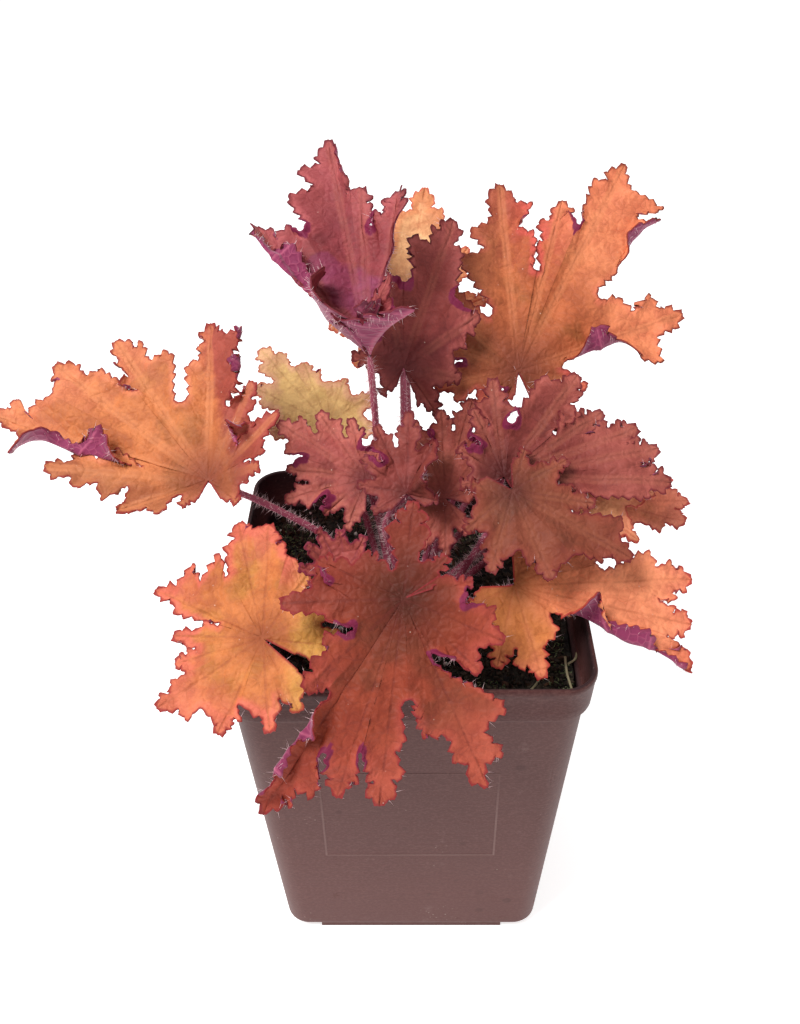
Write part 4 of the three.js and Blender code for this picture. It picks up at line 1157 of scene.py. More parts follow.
def lobe_side(leaf, lobe, side, skin, ribs, sinus_line, is_open, fine):
    """Adds one side of a lobe to the skin, and gives the points on the line to its sinus."""
    which = 0 if side < 0 else 1
    tip = polar(lobe["angle"], 1)
    out_of_rib = side * np.array([tip[1], -tip[0]])
    curve, run, knot_run, turns = lobe["curves"][which]
    across = ACROSS_ROLLED if lobe["rolls"][which][1] else ACROSS
    at = np.interp(turns, np.arange(len(knot_run)), knot_run)
    shares = np.interp(turns, np.arange(len(knot_run)), lobe["veins"])
    margin, push = toothed(curve, run, at, side, fine)
    rib = lobe["length"] * shares[:, None] * tip
    a = across[None, :, None]
    pushed = np.clip((a - PUSHED["from"]) / PUSHED["over"], 0, 1)
    rows = rib[:, None] * (1 - a) + margin[:, None] * a + push[:, None] * pushed
    grid = np.concatenate([PALM_ROWS[:-1, None, None] * rows[0][None], rows])
    deep = len(PALM_ROWS) - 1
    palm = np.concatenate([PALM_ROWS[:-1], np.exp(-at / PALM_FADE)])[:, None]
    soft = across ** 2 * (3 - 2 * across) - across
    offset = np.abs(grid[:, -1] @ out_of_rib)[:, None]
    evened = BLADE["fold"] * palm * (lobe["evened"][which] * across + offset * soft)
    edge = edge_distance(rows, rib, across, is_open)
    near = np.concatenate([np.zeros(deep), np.exp(-(at / SINUS["reach"]) ** 2)])
    near = near[:, None] * lobe["sinus_curl"][which] * np.exp(-edge / SINUS["rim"])
    place = place_on_lobe(leaf, lobe, side, grid[..., 0], grid[..., 1],
                          evened + SINUS["lift"] * near)
    ribs_off, veins = vein_distance(grid, lobe, which, tip, out_of_rib)
    out = np.hypot(grid[..., 0], grid[..., 1]) / leaf["radius"]
    tips = np.clip((grid @ tip) / lobe["length"], 0, 1)
    facts = np.stack([veins, edge, out, tips, ribs_off, near], axis=-1)
    index = np.full(grid.shape[:2], -1)
    index[:, 0] = ribs
    index[-1, :] = ribs[-1]
    if sinus_line is not None:
        index[:deep + 1, -1] = sinus_line
    fresh = index < 0
    index[fresh] = skin.keep(place[fresh], grid[fresh], facts[fresh])
    skin.faces += faces_of(index, side)
    return index[:deep + 1, -1]


print("every point keeps", ", ".join(FACTS))

# %% The whole blade
def middle_skin(leaf):
    """Places, flat places, facts and faces of a blade's middle surface."""
    skin = Skin()
    centre = np.zeros(2)
    skin.keep(bend_points(leaf, centre[:1], centre[:1], centre[:1]), centre,
              np.array([0, FAR, 0, 0, 0, 0.0]))
    fine = SMALL_TEETH if leaf["crests"] == 1 else 1.0
    shared = None
    for i, lobe in enumerate(leaf["lobes"]):
        tip, length = polar(lobe["angle"], 1), lobe["length"]
        lines = []
        for side, margin in zip((-1, 1), lobe["margins"]):
            out_of_rib = side * np.array([tip[1], -tip[0]])
            knots = np.array([length * share * tip + reach * out_of_rib
                              for share, reach in margin])
            start = knots[0] / np.hypot(*knots[0])
            pull = -side * np.array([start[1], -start[0]])
            lines.append(soft_curve(knots, pull))
        turns = row_turns(lobe, [line[2] for line in lines])
        lobe["curves"] = [(*line, turns) for line in lines]
        shares = np.interp(turns, np.arange(len(lobe["veins"])), lobe["veins"])
        down = np.concatenate([PALM_ROWS[:-1] * shares[0], shares])
        rib = length * down[:, None] * tip
        place = place_on_lobe(leaf, lobe, 1, rib[:, 0], rib[:, 1], 0)
        none = np.zeros_like(down)
        facts = np.stack([none, np.where(down >= 1, 0, FAR), length * down / leaf["radius"],
                          down, none, none], axis=-1)
        ribs = skin.keep(place, rib, facts)
        lobe_side(leaf, lobe, -1, skin, ribs, shared, i == 0, fine)
        shared = lobe_side(leaf, lobe, 1, skin, ribs, None, i + 1 == len(leaf["lobes"]), fine)
    place, flat, facts = (np.concatenate(kept) for kept in (skin.place, skin.flat, skin.facts))
    return place, flat, facts, np.concatenate(skin.faces)


made = middle_skin(read_leaf(LEAVES[0]))
print("largest leaf:", len(made[0]), "points,", len(made[3]), "faces on one side")

# %% [markdown]
# ## Leaf finishes
# A young blade is amber to coral and darkens round the stalk joint; an older one is dusty maroon.
# Each palette names the colours of one leaf; a few leaves that lie in the shade of others are
# given paints lighter than their own colour, as painted light. Some lobes have drifted to another
# colour, one of them as a painted pool of light, and a few small patches are purple. On some
# leaves a painted highlight runs beside the ribs, and between the ribs the skin is painted
# darker, as painted shade. Near the margin, over the veins and in a curled sinus the skin is
# darker. The underside is magenta or dusky. A picture of a leaf could be laid over each blade,
# but sums on the blade's own facts stay sharp at any distance, and each vein, rim and lobe is
# painted where it really is.

# %% Palettes
PALETTE_PARTS = ("centre", "body", "tips", "patch", "veins", "edge")
PALETTES = {
    "top_right": [(112, 54, 44), (204, 112, 70), (232, 104, 90),
                  (170, 104, 58), (140, 66, 44), (128, 42, 40)],
    "left": [(130, 60, 50), (222, 134, 82), (242, 146, 104),
             (186, 118, 68), (160, 84, 52), (146, 46, 46)],
    "lower_left": [(160, 82, 48), (222, 132, 76), (240, 126, 100),
                   (212, 148, 74), (160, 80, 50), (150, 42, 44)],
    "front": [(50, 26, 18), (160, 70, 48), (182, 80, 64),
              (136, 70, 48), (104, 40, 34), (140, 42, 46)],
    "top_left": [(120, 48, 62), (158, 70, 76), (192, 98, 100),
                 (132, 58, 66), (120, 44, 54), (108, 30, 44)],
    "top_mid": [(100, 40, 42), (150, 68, 64), (172, 86, 82),
                (118, 48, 50), (98, 36, 38), (100, 30, 36)],
    "back_pale": [(206, 124, 80), (255, 198, 142), (250, 168, 116),
                  (255, 212, 164), (196, 112, 72), (200, 96, 76)],
    "back_left": [(160, 124, 74), (220, 182, 116), (230, 180, 136),
                  (198, 170, 100), (160, 118, 70), (176, 86, 66)],
    "centre_left": [(104, 44, 46), (178, 88, 82), (204, 114, 102),
                    (128, 62, 56), (118, 46, 48), (116, 36, 46)],
    "centre_mid": [(112, 48, 46), (150, 70, 64), (162, 80, 72),
                   (130, 70, 58), (104, 42, 42), (112, 36, 44)],
    # Painted light: this leaf's paints are lighter than its own colour, to make up for the shade it lies
    # in.
    "centre": [(136, 62, 56), (182, 92, 80), (190, 98, 86),
               (152, 84, 66), (110, 44, 44), (108, 34, 42)],
    "upper_right": [(80, 32, 32), (138, 62, 56), (176, 90, 80),
                    (116, 52, 46), (98, 38, 40), (112, 34, 42)],
    "lower_right": [(100, 48, 40), (142, 74, 54), (152, 76, 58),
                    (124, 76, 58), (104, 46, 42), (118, 38, 42)],
    # Painted light: this leaf lies in the shade of the upper right leaf, so its paints are lighter than
    # its own colour.
    "right_orange": [(226, 136, 88), (255, 176, 126), (255, 164, 124),
                     (244, 172, 110), (200, 100, 68), (176, 56, 50)],
    "right_coral": [(190, 100, 76), (230, 130, 98), (238, 140, 112),
                    (206, 126, 84), (176, 80, 64), (170, 54, 54)],
    # Painted light: this leaf's paints are lighter than its own colour, to make up for the shadow of the
    # lower right leaf.
    "right_front": [(150, 88, 44), (255, 150, 104), (255, 140, 112),
                    (244, 150, 92), (170, 84, 50), (170, 50, 50)],
    "back_right": [(140, 70, 52), (196, 112, 76), (216, 116, 90),
                   (166, 110, 70), (142, 66, 52), (146, 46, 46)],
    "back_low": [(96, 44, 42), (142, 70, 62), (164, 78, 68),
                 (120, 70, 54), (104, 42, 42), (116, 36, 44)],
    "small": [(124, 50, 54), (178, 86, 80), (190, 96, 88),
              (134, 62, 56), (150, 66, 76), (130, 40, 62)],
}
CURLED = (128, 38, 70)
RIB_HIGHLIGHT_PAINT = (255, 176, 130)
MAGENTA = {"body": (150, 48, 92), "veins": (190, 92, 122), "edge": (120, 34, 62)}
DUSKY = {"body": (120, 36, 70), "veins": (156, 72, 100), "edge": (98, 28, 52)}
DUSKY_LEAVES = ("centre_left", "centre_mid", "centre", "upper_right", "lower_right", "small",
                "back_low")
print(len(PALETTES), "palettes")

# %% Drifts, spots and painted rib highlights
# A drift has its angle, where it begins and is full, where it ends, and its paint.
DRIFTS = {
    "top_right": [(70, 24, 44, 90, (252, 154, 108)), (-75, 8, 20, 40, (170, 98, 66))],
    "left": [(-155, 8, 15, 60, (184, 114, 76)), (72, 6, 12, 60, (162, 62, 68))],
    "lower_left": [(90, 5, 13, 60, (224, 172, 82)), (-134, 14, 30, 60, (236, 132, 98))],
    "front": [(150, 26, 50, 90, (192, 94, 72)), (5, 4, 12, 60, (138, 62, 48)),
              (-60, 8, 20, 60, (150, 66, 52))],
    "upper_right": [(78, 22, 34, 90, (176, 92, 82))],
    # The right front leaf's second drift is a painted pool of light on its shadowed right lobe.
    "right_front": [(-145, -2, 9, 70, (214, 132, 64)), (90, 8, 18, 46, (255, 160, 116)),
                    (175, 19, 29, 60, (250, 140, 104))],
}
DRIFT_END = 15
# A spot has its angle, its distance to the stalk joint, its radius and its paint.
SPOTS = {"top_left": [(-30, 33, 5, (140, 58, 86)), (-19, 24, 8, (146, 60, 90)),
                      (0, 18, 8, (158, 72, 106))]}
# How strong the painted highlight beside the ribs is, on each leaf.
RIB_HIGHLIGHT_SHARES = {"top_right": 0.6, "left": 0.5, "top_left": 0.3, "top_mid": 0.3, "centre_left": 0.3,
             "centre": 0.2, "upper_right": 0.4, "lower_right": 0.25, "right_front": 0.2}
print(sum(map(len, DRIFTS.values())), "drifts,", sum(map(len, SPOTS.values())), "spots")

# %% Patterns both faces share
def surface_patterns(skin):
    """The flat place, noise of two sizes, the net of small veins, and two facts."""
    flat = skin.attribute("flat", 1)
    bent = skin.add("VectorMath", {"operation": "MULTIPLY_ADD"},
                    {0: skin.noise(flat, 0.22, 2.0, out=1), 1: (2.2, 2.2, 2.2), 2: flat})
    net = skin.cells(bent, 0.36, "DISTANCE_TO_EDGE")
    return (flat, skin.noise(flat, 0.16, 4.0, 0.6), skin.noise(flat, 1.1, 4.0, 0.65), net,
            skin.step(net, 0.0, 0.075, 1.0, 0.0), skin.attribute("vein"),
            skin.attribute("edge"))


def drifted(skin, name, colour, flat, middling):
    """The colour with this leaf's drifts, each across the lobes on one side."""
    for angle, low, high, gone, other in DRIFTS.get(name, ()):
        way = (math.sin(angle * RAD), math.cos(angle * RAD), 0)
        along = skin.add("VectorMath", {"operation": "DOT_PRODUCT"},
                         {0: flat, 1: way}, 1) + middling * 8 - 4
        share = skin.step(along, low, high) * skin.step(along, gone, gone + DRIFT_END, 1.0, 0.0)
        colour = skin.mix(share * 0.75, colour, paint(*other))
    return colour


def spotted(skin, name, colour, flat, middling):
    """The colour with this leaf's spots."""
    for angle, reach, size, other in SPOTS.get(name, ()):
        middle = (reach * math.sin(angle * RAD), reach * math.cos(angle * RAD), 0)
        away = skin.add("VectorMath", {"operation": "DISTANCE"},
                        {0: skin.stretch(flat, (1, 1, 0)), 1: middle}, 1)
        share = skin.step(away + middling * 5 - 2.5, size * 0.75, size * 1.1, 0.85, 0.0)
        colour = skin.mix(share, colour, paint(*other))
    return colour


print("helpers for both faces of a leaf")

# %% Upper face
SHADES = {"shade_between_ribs": (0.76, 0.66, 0.6, 1), "blotch": (0.62, 0.52, 0.5, 1),
          "grain": (0.82, 0.76, 0.72, 1)}
SPECK = (0.86, 0.68, 0.56, 1)


def leaf_top(name):
    """The finish of a blade's upper face."""
    skin = Finish(name + "_top", Specular_IOR_Level=0.2)
    flat, middling, grain, net, lines, vein, edge = surface_patterns(skin)
    out, tip, rib, sinus = (skin.attribute(fact) for fact in ("out", "tip", "rib", "sinus"))
    paints = dict(zip(PALETTE_PARTS, PALETTES[name]))
    paints["curled"] = CURLED
    # A paler paint for the skin beside the ribs: a painted highlight on the fold along each rib.
    paints["beside_rib"] = [value + (light - value) * 0.4
                            for value, light in zip(paints["body"], RIB_HIGHLIGHT_PAINT)]
    broad = skin.noise(flat, 0.055, 3.0)
    colour = skin.mix(skin.step(broad + middling * 0.3, 0.62, 0.82) * 0.75,
                      paint(*paints["body"]), paint(*paints["patch"]))
    # Between the ribs the skin is painted darker, as painted shade in the folds.
    colour = skin.mix(skin.step(rib + middling * 6, 5, 12, 0.0, 0.55), colour,
                      SHADES["shade_between_ribs"], "MULTIPLY")
    rim = skin.step(edge, 0.5, 4.0, 0.42, 0.0)
    colour = skin.coats(colour, paints, tips=skin.step(tip + middling * 0.7 + rim, 0.85, 1.4))
    colour = drifted(skin, name, colour, flat, middling)
    colour = skin.coats(colour, paints,
                        centre=skin.step(out + middling * 0.2, 0.08, 0.4, 0.85, 0.0))
    colour = spotted(skin, name, colour, flat, middling)
    colour = skin.mix(skin.step(middling, 0.35, 0.62) * 0.6, colour, SHADES["blotch"], "MULTIPLY")
    colour = skin.mix(skin.step(grain, 0.3, 0.7) * 0.5, colour, SHADES["grain"], "MULTIPLY")
    colour = skin.coats(colour, paints, veins=lines * skin.step(middling, 0.4, 0.65, 0.05, 0.3))
    band = RIB_HIGHLIGHT_SHARES.get(name, 0.0)
    along_rib = skin.step(rib + grain * 0.5, 1.2, 2.2, 1.0, 0.0)
    side_vein = skin.step(vein, 0.1, 0.6, 1.0, 0.0)
    shown = skin.step(out, 0.05, 0.3) * skin.step(middling, 0.3, 0.7, 0.4, 0.9)
    colour = skin.coats(
        colour, paints,
        # Beside the ribs: a painted highlight on the fold.
        beside_rib=along_rib * shown * band,
        veins=side_vein * (1 - along_rib * band) * skin.step(middling, 0.35, 0.6, 0.12, 0.42),
        edge=skin.step(edge + grain * 0.5, 0.35, 1.2, 0.9, 0.0),
        curled=skin.step(sinus + middling * 0.5, 0.5, 0.62))
    speck = skin.step(skin.cells(flat, 0.3), 0.0, 0.09, 1.0, 0.0)
    colour = skin.mix(speck * skin.step(middling, 0.5, 0.6, 0.0, 0.7), colour, SPECK)
    relief = skin.step(net, 0.0, 0.35) * 0.8 + grain * 0.5 + middling * 1.6 - side_vein * 0.4
    return skin.show(Base_Color=colour, Roughness=0.48 + grain * 0.18,
                     Normal=skin.bump(relief, 0.0006, 0.5))


print(len(DUSKY_LEAVES), "leaves have a dusky underside")

# %% Underside and stalk
STALK_PAINT = {"dark": (142, 54, 78), "light": (190, 94, 116), "blotch": (104, 40, 48)}


def leaf_under(name):
    """The finish of a blade's underside, with pale veins."""
    skin = Finish(name + "_under", Specular_IOR_Level=0.3, Sheen_Weight=0.25)
    _, middling, grain, net, lines, vein, edge = surface_patterns(skin)
    paints = DUSKY if name in DUSKY_LEAVES else MAGENTA
    colour = skin.mix(middling, paint(*paints["body"]), paint(*[v * 0.82 for v in paints["body"]]))
    colour = skin.coats(colour, paints, veins=lines * 0.4)
    colour = skin.coats(colour, paints, veins=skin.step(vein, 0.2, 1.0, 0.8, 0.0),
                        edge=skin.step(edge, 0.2, 1.2, 0.6, 0.0))
    relief = skin.step(net, 0.0, 0.3, 1.0, 0.0) + grain * 0.5
    return skin.show(Base_Color=colour, Roughness=0.6 + grain * 0.15,
                     Normal=skin.bump(relief, 0.0003, 0.6))


def stalk_skin():
    """The finish of every stalk: long streaks, and some darker blotches."""
    skin = Finish("stalk", Specular_IOR_Level=0.45)
    flat = skin.attribute("flat", 1)
    streak = skin.noise(skin.stretch(flat, (0.08, 1.6, 1.0)), 1.0, 3.0)
    colour = skin.coats(
        skin.mix(streak, paint(*STALK_PAINT["dark"]), paint(*STALK_PAINT["light"])), STALK_PAINT,
        blotch=skin.step(skin.noise(flat, 0.12, 3.0), 0.55, 0.75, 0.0, 0.6))
    return skin.show(Base_Color=colour, Roughness=0.42 + streak * 0.15,
                     Normal=skin.bump(streak, 0.0002, 0.5))


stalk_finish = stalk_skin()
print("stalk finish:", len(stalk_finish.node_tree.nodes), "nodes")

# %% [markdown]
# ## Growing a leaf
# A Solidify modifier would give the blade two equal faces. On the plant they differ: the upper one
# is puckered, with its veins pressed in, and the lower one carries the veins as low ridges. So
# both are pushed out from the middle surface and joined along the margin. The stalk is a tube
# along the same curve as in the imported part.

# %% Sizes of leaf, stalk and mix
LEAF = {"thickness": 0.5, "apart": 40.0}
RELIEF = {"pucker": 0.9, "pucker_reach": 3.4, "ridge": 0.4, "ridge_reach": 2.0,
          "rib": 0.5, "rib_reach": 0.7, "rib_ends": 1.1, "rib_least": 0.2, "wave": 1.0,
          "wave_period": 17, "flutter": 1.3, "flutter_reach": 6.0, "flutter_period": 10}
STALK = {"radius": 1.1, "root_radius": 1.5, "flare": 0.4, "sides": 12, "steps": 64,
         "swell": 0.05, "swell_period": 14, "neck_from": 0.95, "neck": 0.55}
CROWN = {"radius": 14.5, "height": 17, "sunk": 7, "centre": 125.5, "root_depth": 6}
SOIL = {"top": 124, "swell": 0.8, "swell_reach": 30, "ripple": 0.9, "phase": 1,
        "along_x": 0.31, "along_y": 0.27, "skew": 0.12}
RINGS = {"inner": 4.8, "outer": 9.6}
PERIODS = (0.75, 1.5)
print("leaves are", LEAF["thickness"], "mm thick")

# %% Relief
def soft_noise(x, y, period):
    """A few crossed waves, close to the given period in millimetres."""
    total = 0
    for _ in range(4):
        way, phase = chance.uniform(0, 2 * math.pi, 2)
        rate = 2 * math.pi / (period * chance.uniform(*PERIODS))
        total = total + np.sin(rate * (x * math.cos(way) + y * math.sin(way)) + phase)
    return total / 4


def normals_of(place, faces):
    """The direction in which the upper face lies, at each point."""
    one, two, three, four = (place[faces[:, i]] for i in range(4))
    across = np.cross(three - one, two - four)
    total = np.zeros_like(place)
    for i in range(4):
        np.add.at(total, faces[:, i], across)
    return -total / np.maximum(np.linalg.norm(total, axis=1), 1e-9)[:, None]


print("puckers rise", RELIEF["pucker"], "mm")

# %% Stalk curve
def stalk_line(places, count):
    """Even places and directions on a centripetal curve through a few points."""
    points = [np.array(p, float) for p in places]
    points = [2 * points[0] - points[1], *points, 2 * points[-1] - points[-2]]
    fine = []
    t = np.linspace(0, 1, 60, endpoint=False)[:, None]
    for p0, p1, p2, p3 in zip(points, points[1:], points[2:], points[3:]):
        g0, g1, g2 = (math.dist(a, b) ** 0.5 for a, b in ((p0, p1), (p1, p2), (p2, p3)))
        m1 = ((p1 - p0) / g0 - (p2 - p0) / (g0 + g1) + (p2 - p1) / g1) * g1
        m2 = ((p2 - p1) / g1 - (p3 - p1) / (g1 + g2) + (p3 - p2) / g2) * g1
        fine.append((2 * t ** 3 - 3 * t ** 2 + 1) * p1 + (t ** 3 - 2 * t ** 2 + t) * m1
                    + (3 * t ** 2 - 2 * t ** 3) * p2 + (t ** 3 - t ** 2) * m2)
    fine = np.concatenate([*fine, [points[-2]]])
    run = np.concatenate([[0], np.cumsum(np.linalg.norm(np.diff(fine, axis=0), axis=1))])
    at = np.linspace(0, run[-1], count + 1)
    line = np.stack([np.interp(at, run, fine[:, axis]) for axis in range(3)], axis=-1)
    ways = np.gradient(line, axis=0)
    return line, ways / np.linalg.norm(ways, axis=1)[:, None], run[-1]


def tube_round(line, ways, first_way, size, sides, squash=1.0):
    """Rings of points round a curve."""
    u = first_way / np.linalg.norm(first_way, axis=1)[:, None]
    v = np.cross(ways, u)
    turn = np.linspace(0, 2 * math.pi, sides, endpoint=False)
    return (line[:, None] + size * (u[:, None] * np.cos(turn)[None, :, None]
                                    + squash * v[:, None] * np.sin(turn)[None, :, None]))


def root_place(ring, turn):
    """Where a stalk stands in the crown."""
    reach = RINGS[ring]
    return [reach * math.sin(turn * RAD), -reach * math.cos(turn * RAD),
            SOIL["top"] - CROWN["sunk"] + CROWN["root_depth"]]


def stalk_tube(leaf):
    """Points and flat places of a stalk."""
    line, ways, length = stalk_line(
        [root_place(*leaf["root"]), *leaf["via"], leaf["joint"]], STALK["steps"])
    t = np.linspace(0, 1, len(line))
    size = STALK["root_radius"] + (STALK["radius"] - STALK["root_radius"]) * np.minimum(
        1, t / STALK["flare"])
    swell = soft_noise(t * length, 0 * t, STALK["swell_period"])
    size = size * (1 + STALK["swell"] * swell) * np.interp(
        t, [0, STALK["neck_from"], 1], [1, 1, STALK["neck"]])
    first_way = np.array([1.0, 0, 0]) - ways[:, :1] * ways
    points = tube_round(line, ways, first_way, size[:, None, None], STALK["sides"])
    turn = np.linspace(0, 2 * math.pi, STALK["sides"], endpoint=False)
    flat = np.stack(np.broadcast_arrays((t * length)[:, None], turn[None], 0.0), axis=-1)
    return points.reshape(-1, 3), flat.reshape(-1, 3)


line = stalk_line([root_place("inner", 112), (13, 14, 150), (27, 26, 178), (37, 36, 194)], 64)
print("longest stalk", round(line[2]), "mm")

# %% Leaf assembly
UPHILL = np.array([0, 0.6, 0.8])
STALK_FACTS = [9.0, FAR, 0.5, 0.5, 9.0, 0]


def in_space(leaf, place):
    """A blade's points turned the way the leaf faces and brought to its joint."""
    turn, rise = (angle * RAD for angle in leaf["faces"])
    up = np.array([math.sin(turn) * math.cos(rise), -math.cos(turn) * math.cos(rise),
                   math.sin(rise)])
    ahead = UPHILL - up * (UPHILL @ up)
    ahead /= np.linalg.norm(ahead)
    return np.array(leaf["joint"]) + place @ np.array([np.cross(ahead, up), ahead, up])


def two_faces(place, flat, facts, faces):
    """Points of the upper and the lower face, from the middle surface."""
    vein, edge, out, tip, rib_off, _ = facts.T
    inward = np.minimum(out * 2, 1)
    relief = (RELIEF["pucker"] * (1 - np.exp(-(vein / RELIEF["pucker_reach"]) ** 2))
              + RELIEF["ridge"] * np.exp(-(rib_off / RELIEF["ridge_reach"]) ** 2)
              + RELIEF["wave"] * soft_noise(*flat.T, RELIEF["wave_period"]) * inward
              + RELIEF["flutter"] * soft_noise(*flat.T, RELIEF["flutter_period"])
              * np.exp(-edge / RELIEF["flutter_reach"]) * inward)
    rib = RELIEF["rib"] * np.exp(-(vein / RELIEF["rib_reach"]) ** 2) * np.clip(
        RELIEF["rib_ends"] - tip, RELIEF["rib_least"], 1)
    normals, half = normals_of(place, faces), LEAF["thickness"] / 2
    return (place + normals * (relief + half)[:, None],
            place + normals * (relief - half - rib)[:, None])


def rim_faces(faces, count):
    """Quads that join the two faces along the blade's open edges."""
    borders = np.concatenate([faces[:, [i, (i + 1) % 4]] for i in range(4)])
    borders = borders[borders[:, 0] != borders[:, 1]]
    _, first, uses = np.unique(np.sort(borders, axis=1), axis=0, return_index=True,
                               return_counts=True)
    one, two = borders[first[uses == 1]].T
    return np.stack([one, one + count, two + count, two], axis=-1)


def grow_leaf(chart, number):
    """One leaf with its blade, its stalk and their finishes, from its chart."""
    leaf = read_leaf(chart)
    place, flat, facts, faces = middle_skin(leaf)
    place, count = in_space(leaf, place), len(place)
    upper, lower = two_faces(place, flat, facts, faces)
    tube, tube_flat = stalk_tube(leaf)
    groups = [faces, faces[:, ::-1] + count, rim_faces(faces, count),
              ring_faces(STALK["steps"] + 1, STALK["sides"]) + 2 * count]
    kinds = np.repeat([0, 1, 0, 2], [len(group) for group in groups])
    corners = [list(dict.fromkeys(quad)) for quad in np.concatenate(groups).tolist()]
    solid = [i for i, corner in enumerate(corners) if len(corner) > 2]
    shift = np.array([0, 0, LEAF["apart"] * number])
    spread = np.concatenate([flat, np.zeros((count, 1))], axis=1) + shift
    every = np.concatenate([facts, facts, np.tile(STALK_FACTS, (len(tube), 1))])
    name = chart["name"].removeprefix("leaf_")
    return piece_from(
        name + "_leaf", np.concatenate([upper, lower, tube]), [corners[i] for i in solid],
        [leaf_top(name), leaf_under(name), stalk_finish], kinds[solid],
        facts={"flat": np.concatenate([spread, spread, tube_flat + shift]),
               **dict(zip(FACTS, every.T))})


print("the blade faces uphill at", round(math.degrees(math.asin(UPHILL[2]))), "degrees")

# %% Grow every leaf
leaf_pieces = {}
for number, chart in enumerate(LEAVES):
    leaf_pieces[chart["name"]] = grow_leaf(chart, number)
print(len(leaf_pieces), "leaves,", sum(map(triangles, leaf_pieces.values())), "triangles")

# %% [markdown]
# ## Hairs
# Heuchera stalks carry dense pale hairs 1 to 3 mm long, and the undersides and margins have a few.
# Blender's hair curves would do for a picture, but only a mesh travels with the piece. So one
# Geometry Nodes tree scatters thin three-sided cones over the faces that an attribute marks, and
# every leaf uses it. Each leaf keeps its own hairs in its own mesh. The same start and end serve
# the tree that strews the potting mix.

# %% Node helpers
FULL_TURN = 6.28


def node_of(tree, kind, links=None, **settings):
    """A node with its settings, and inputs filled from values or other nodes' outputs."""
    node = tree.nodes.new(kind)
    for name, value in settings.items():
        setattr(node, name, value)
    for key, value in (links or {}).items():
        if isinstance(value, bpy.types.NodeSocket):
            tree.links.new(value, node.inputs[key])
        else:
            node.inputs[key].default_value = value
    return node


def random_between(tree, seed, low, high):
    """A random vector or number for each point."""
    first, out = (0, 0) if isinstance(low, tuple) else (2, 1)
    return node_of(tree, "FunctionNodeRandomValue", {first: low, first + 1: high, "Seed": seed},
                   data_type="FLOAT" if out else "FLOAT_VECTOR").outputs[out]


print("node helpers ready")

# %% Start and end of a tree
def scatter_tree(name, mark, sizes):
    """A tree with its inputs, and points spread over the mesh, thick where it is marked."""
    tree = bpy.data.node_groups.new(name, "GeometryNodeTree")
    tree.interface.new_socket("Geometry", in_out="INPUT", socket_type="NodeSocketGeometry")
    for title, value in sizes.items():
        tree.interface.new_socket(
            title, in_out="INPUT", socket_type="NodeSocketFloat").default_value = value
    tree.interface.new_socket(
        "Seed", in_out="INPUT", socket_type="NodeSocketInt").default_value = SEED
    for title in ("Object", "Material"):
        tree.interface.new_socket(title, in_out="INPUT", socket_type="NodeSocket" + title)
    tree.interface.new_socket("Geometry", in_out="OUTPUT", socket_type="NodeSocketGeometry")
    start = tree.nodes.new("NodeGroupInput").outputs
    marked = node_of(tree, "GeometryNodeInputNamedAttribute", {"Name": mark}, data_type="FLOAT")
    amount = node_of(tree, "ShaderNodeMath", {
        0: marked.outputs["Attribute"], 1: start["Density"]}, operation="MULTIPLY")
    points = node_of(tree, "GeometryNodeDistributePointsOnFaces", {
        "Mesh": start["Geometry"], "Density": amount.outputs[0], "Seed": start["Seed"]}).outputs
    return tree, start, points


def copies_on(tree, start, points, rotation, scale):
    """The tree's end: its object on every point, made real and given its finish."""
    shape = node_of(tree, "GeometryNodeObjectInfo", {"Object": start["Object"]})
    copies = node_of(tree, "GeometryNodeInstanceOnPoints", {
        "Points": points["Points"], "Instance": shape.outputs["Geometry"],
        "Rotation": rotation, "Scale": scale})
    real = node_of(tree, "GeometryNodeRealizeInstances", {"Geometry": copies.outputs[0]})
    dressed = node_of(tree, "GeometryNodeSetMaterial", {
        "Geometry": real.outputs[0], "Material": start["Material"]})
    tree.links.new(dressed.outputs[0], tree.nodes.new("NodeGroupOutput").inputs["Geometry"])
    print(len(tree.nodes), "nodes in the tree", tree.name)


def grown_by(made, tree, **values):
    """Makes an object into what a tree grows on it, with the tree's inputs set by title."""
    grower = made.modifiers.new(tree.name, "NODES")
    grower.node_group = tree
    for item in tree.interface.items_tree:
        if item.in_out == "INPUT" and item.name in values:
            grower[item.identifier] = values[item.name]
    make_plain(made)


print("tree helpers ready")

# %% Hair tree
hair_tree, start, points = scatter_tree("hairs", "hairy", {
    "Density": 100.0, "Length": 0.002, "Lean": 0.6})
tilt = random_between(hair_tree, start["Seed"], (-1, -1, 0), (1, 1, FULL_TURN))
lean = node_of(hair_tree, "ShaderNodeVectorMath", {0: tilt, "Scale": start["Lean"]},
               operation="SCALE")
turned = node_of(hair_tree, "FunctionNodeRotateRotation", {
    "Rotation": points["Rotation"], "Rotate By": lean.outputs[0]}, rotation_space="LOCAL")
long = node_of(hair_tree, "ShaderNodeMath", {
    0: random_between(hair_tree, start["Seed"], 0.45, 1.1), 1: start["Length"]},
    operation="MULTIPLY")
scale = node_of(hair_tree, "ShaderNodeCombineXYZ", {"X": 1.0, "Y": 1.0, "Z": long.outputs[0]})
copies_on(hair_tree, start, points, turned.outputs[0], scale.outputs[0])

# %% Hairs on every leaf
HAIR = {"density": 1.2e6, "length": 0.0029, "radius": 0.075, "metre": 1000,
        "under": 0.022, "margin": 0.25, "margin_reach": 1.6}
downy = Finish("hair", Base_Color=paint(238, 200, 202), Roughness=0.6,
               Specular_IOR_Level=0.3).material
ring = [[HAIR["radius"] * math.cos(turn * RAD), HAIR["radius"] * math.sin(turn * RAD), 0]
        for turn in (0, 120, 240)]
one_hair = piece_from("one_hair", [*ring, [0, 0, HAIR["metre"]]],
                      [[0, 1, 3], [1, 2, 3], [2, 0, 3]], [])


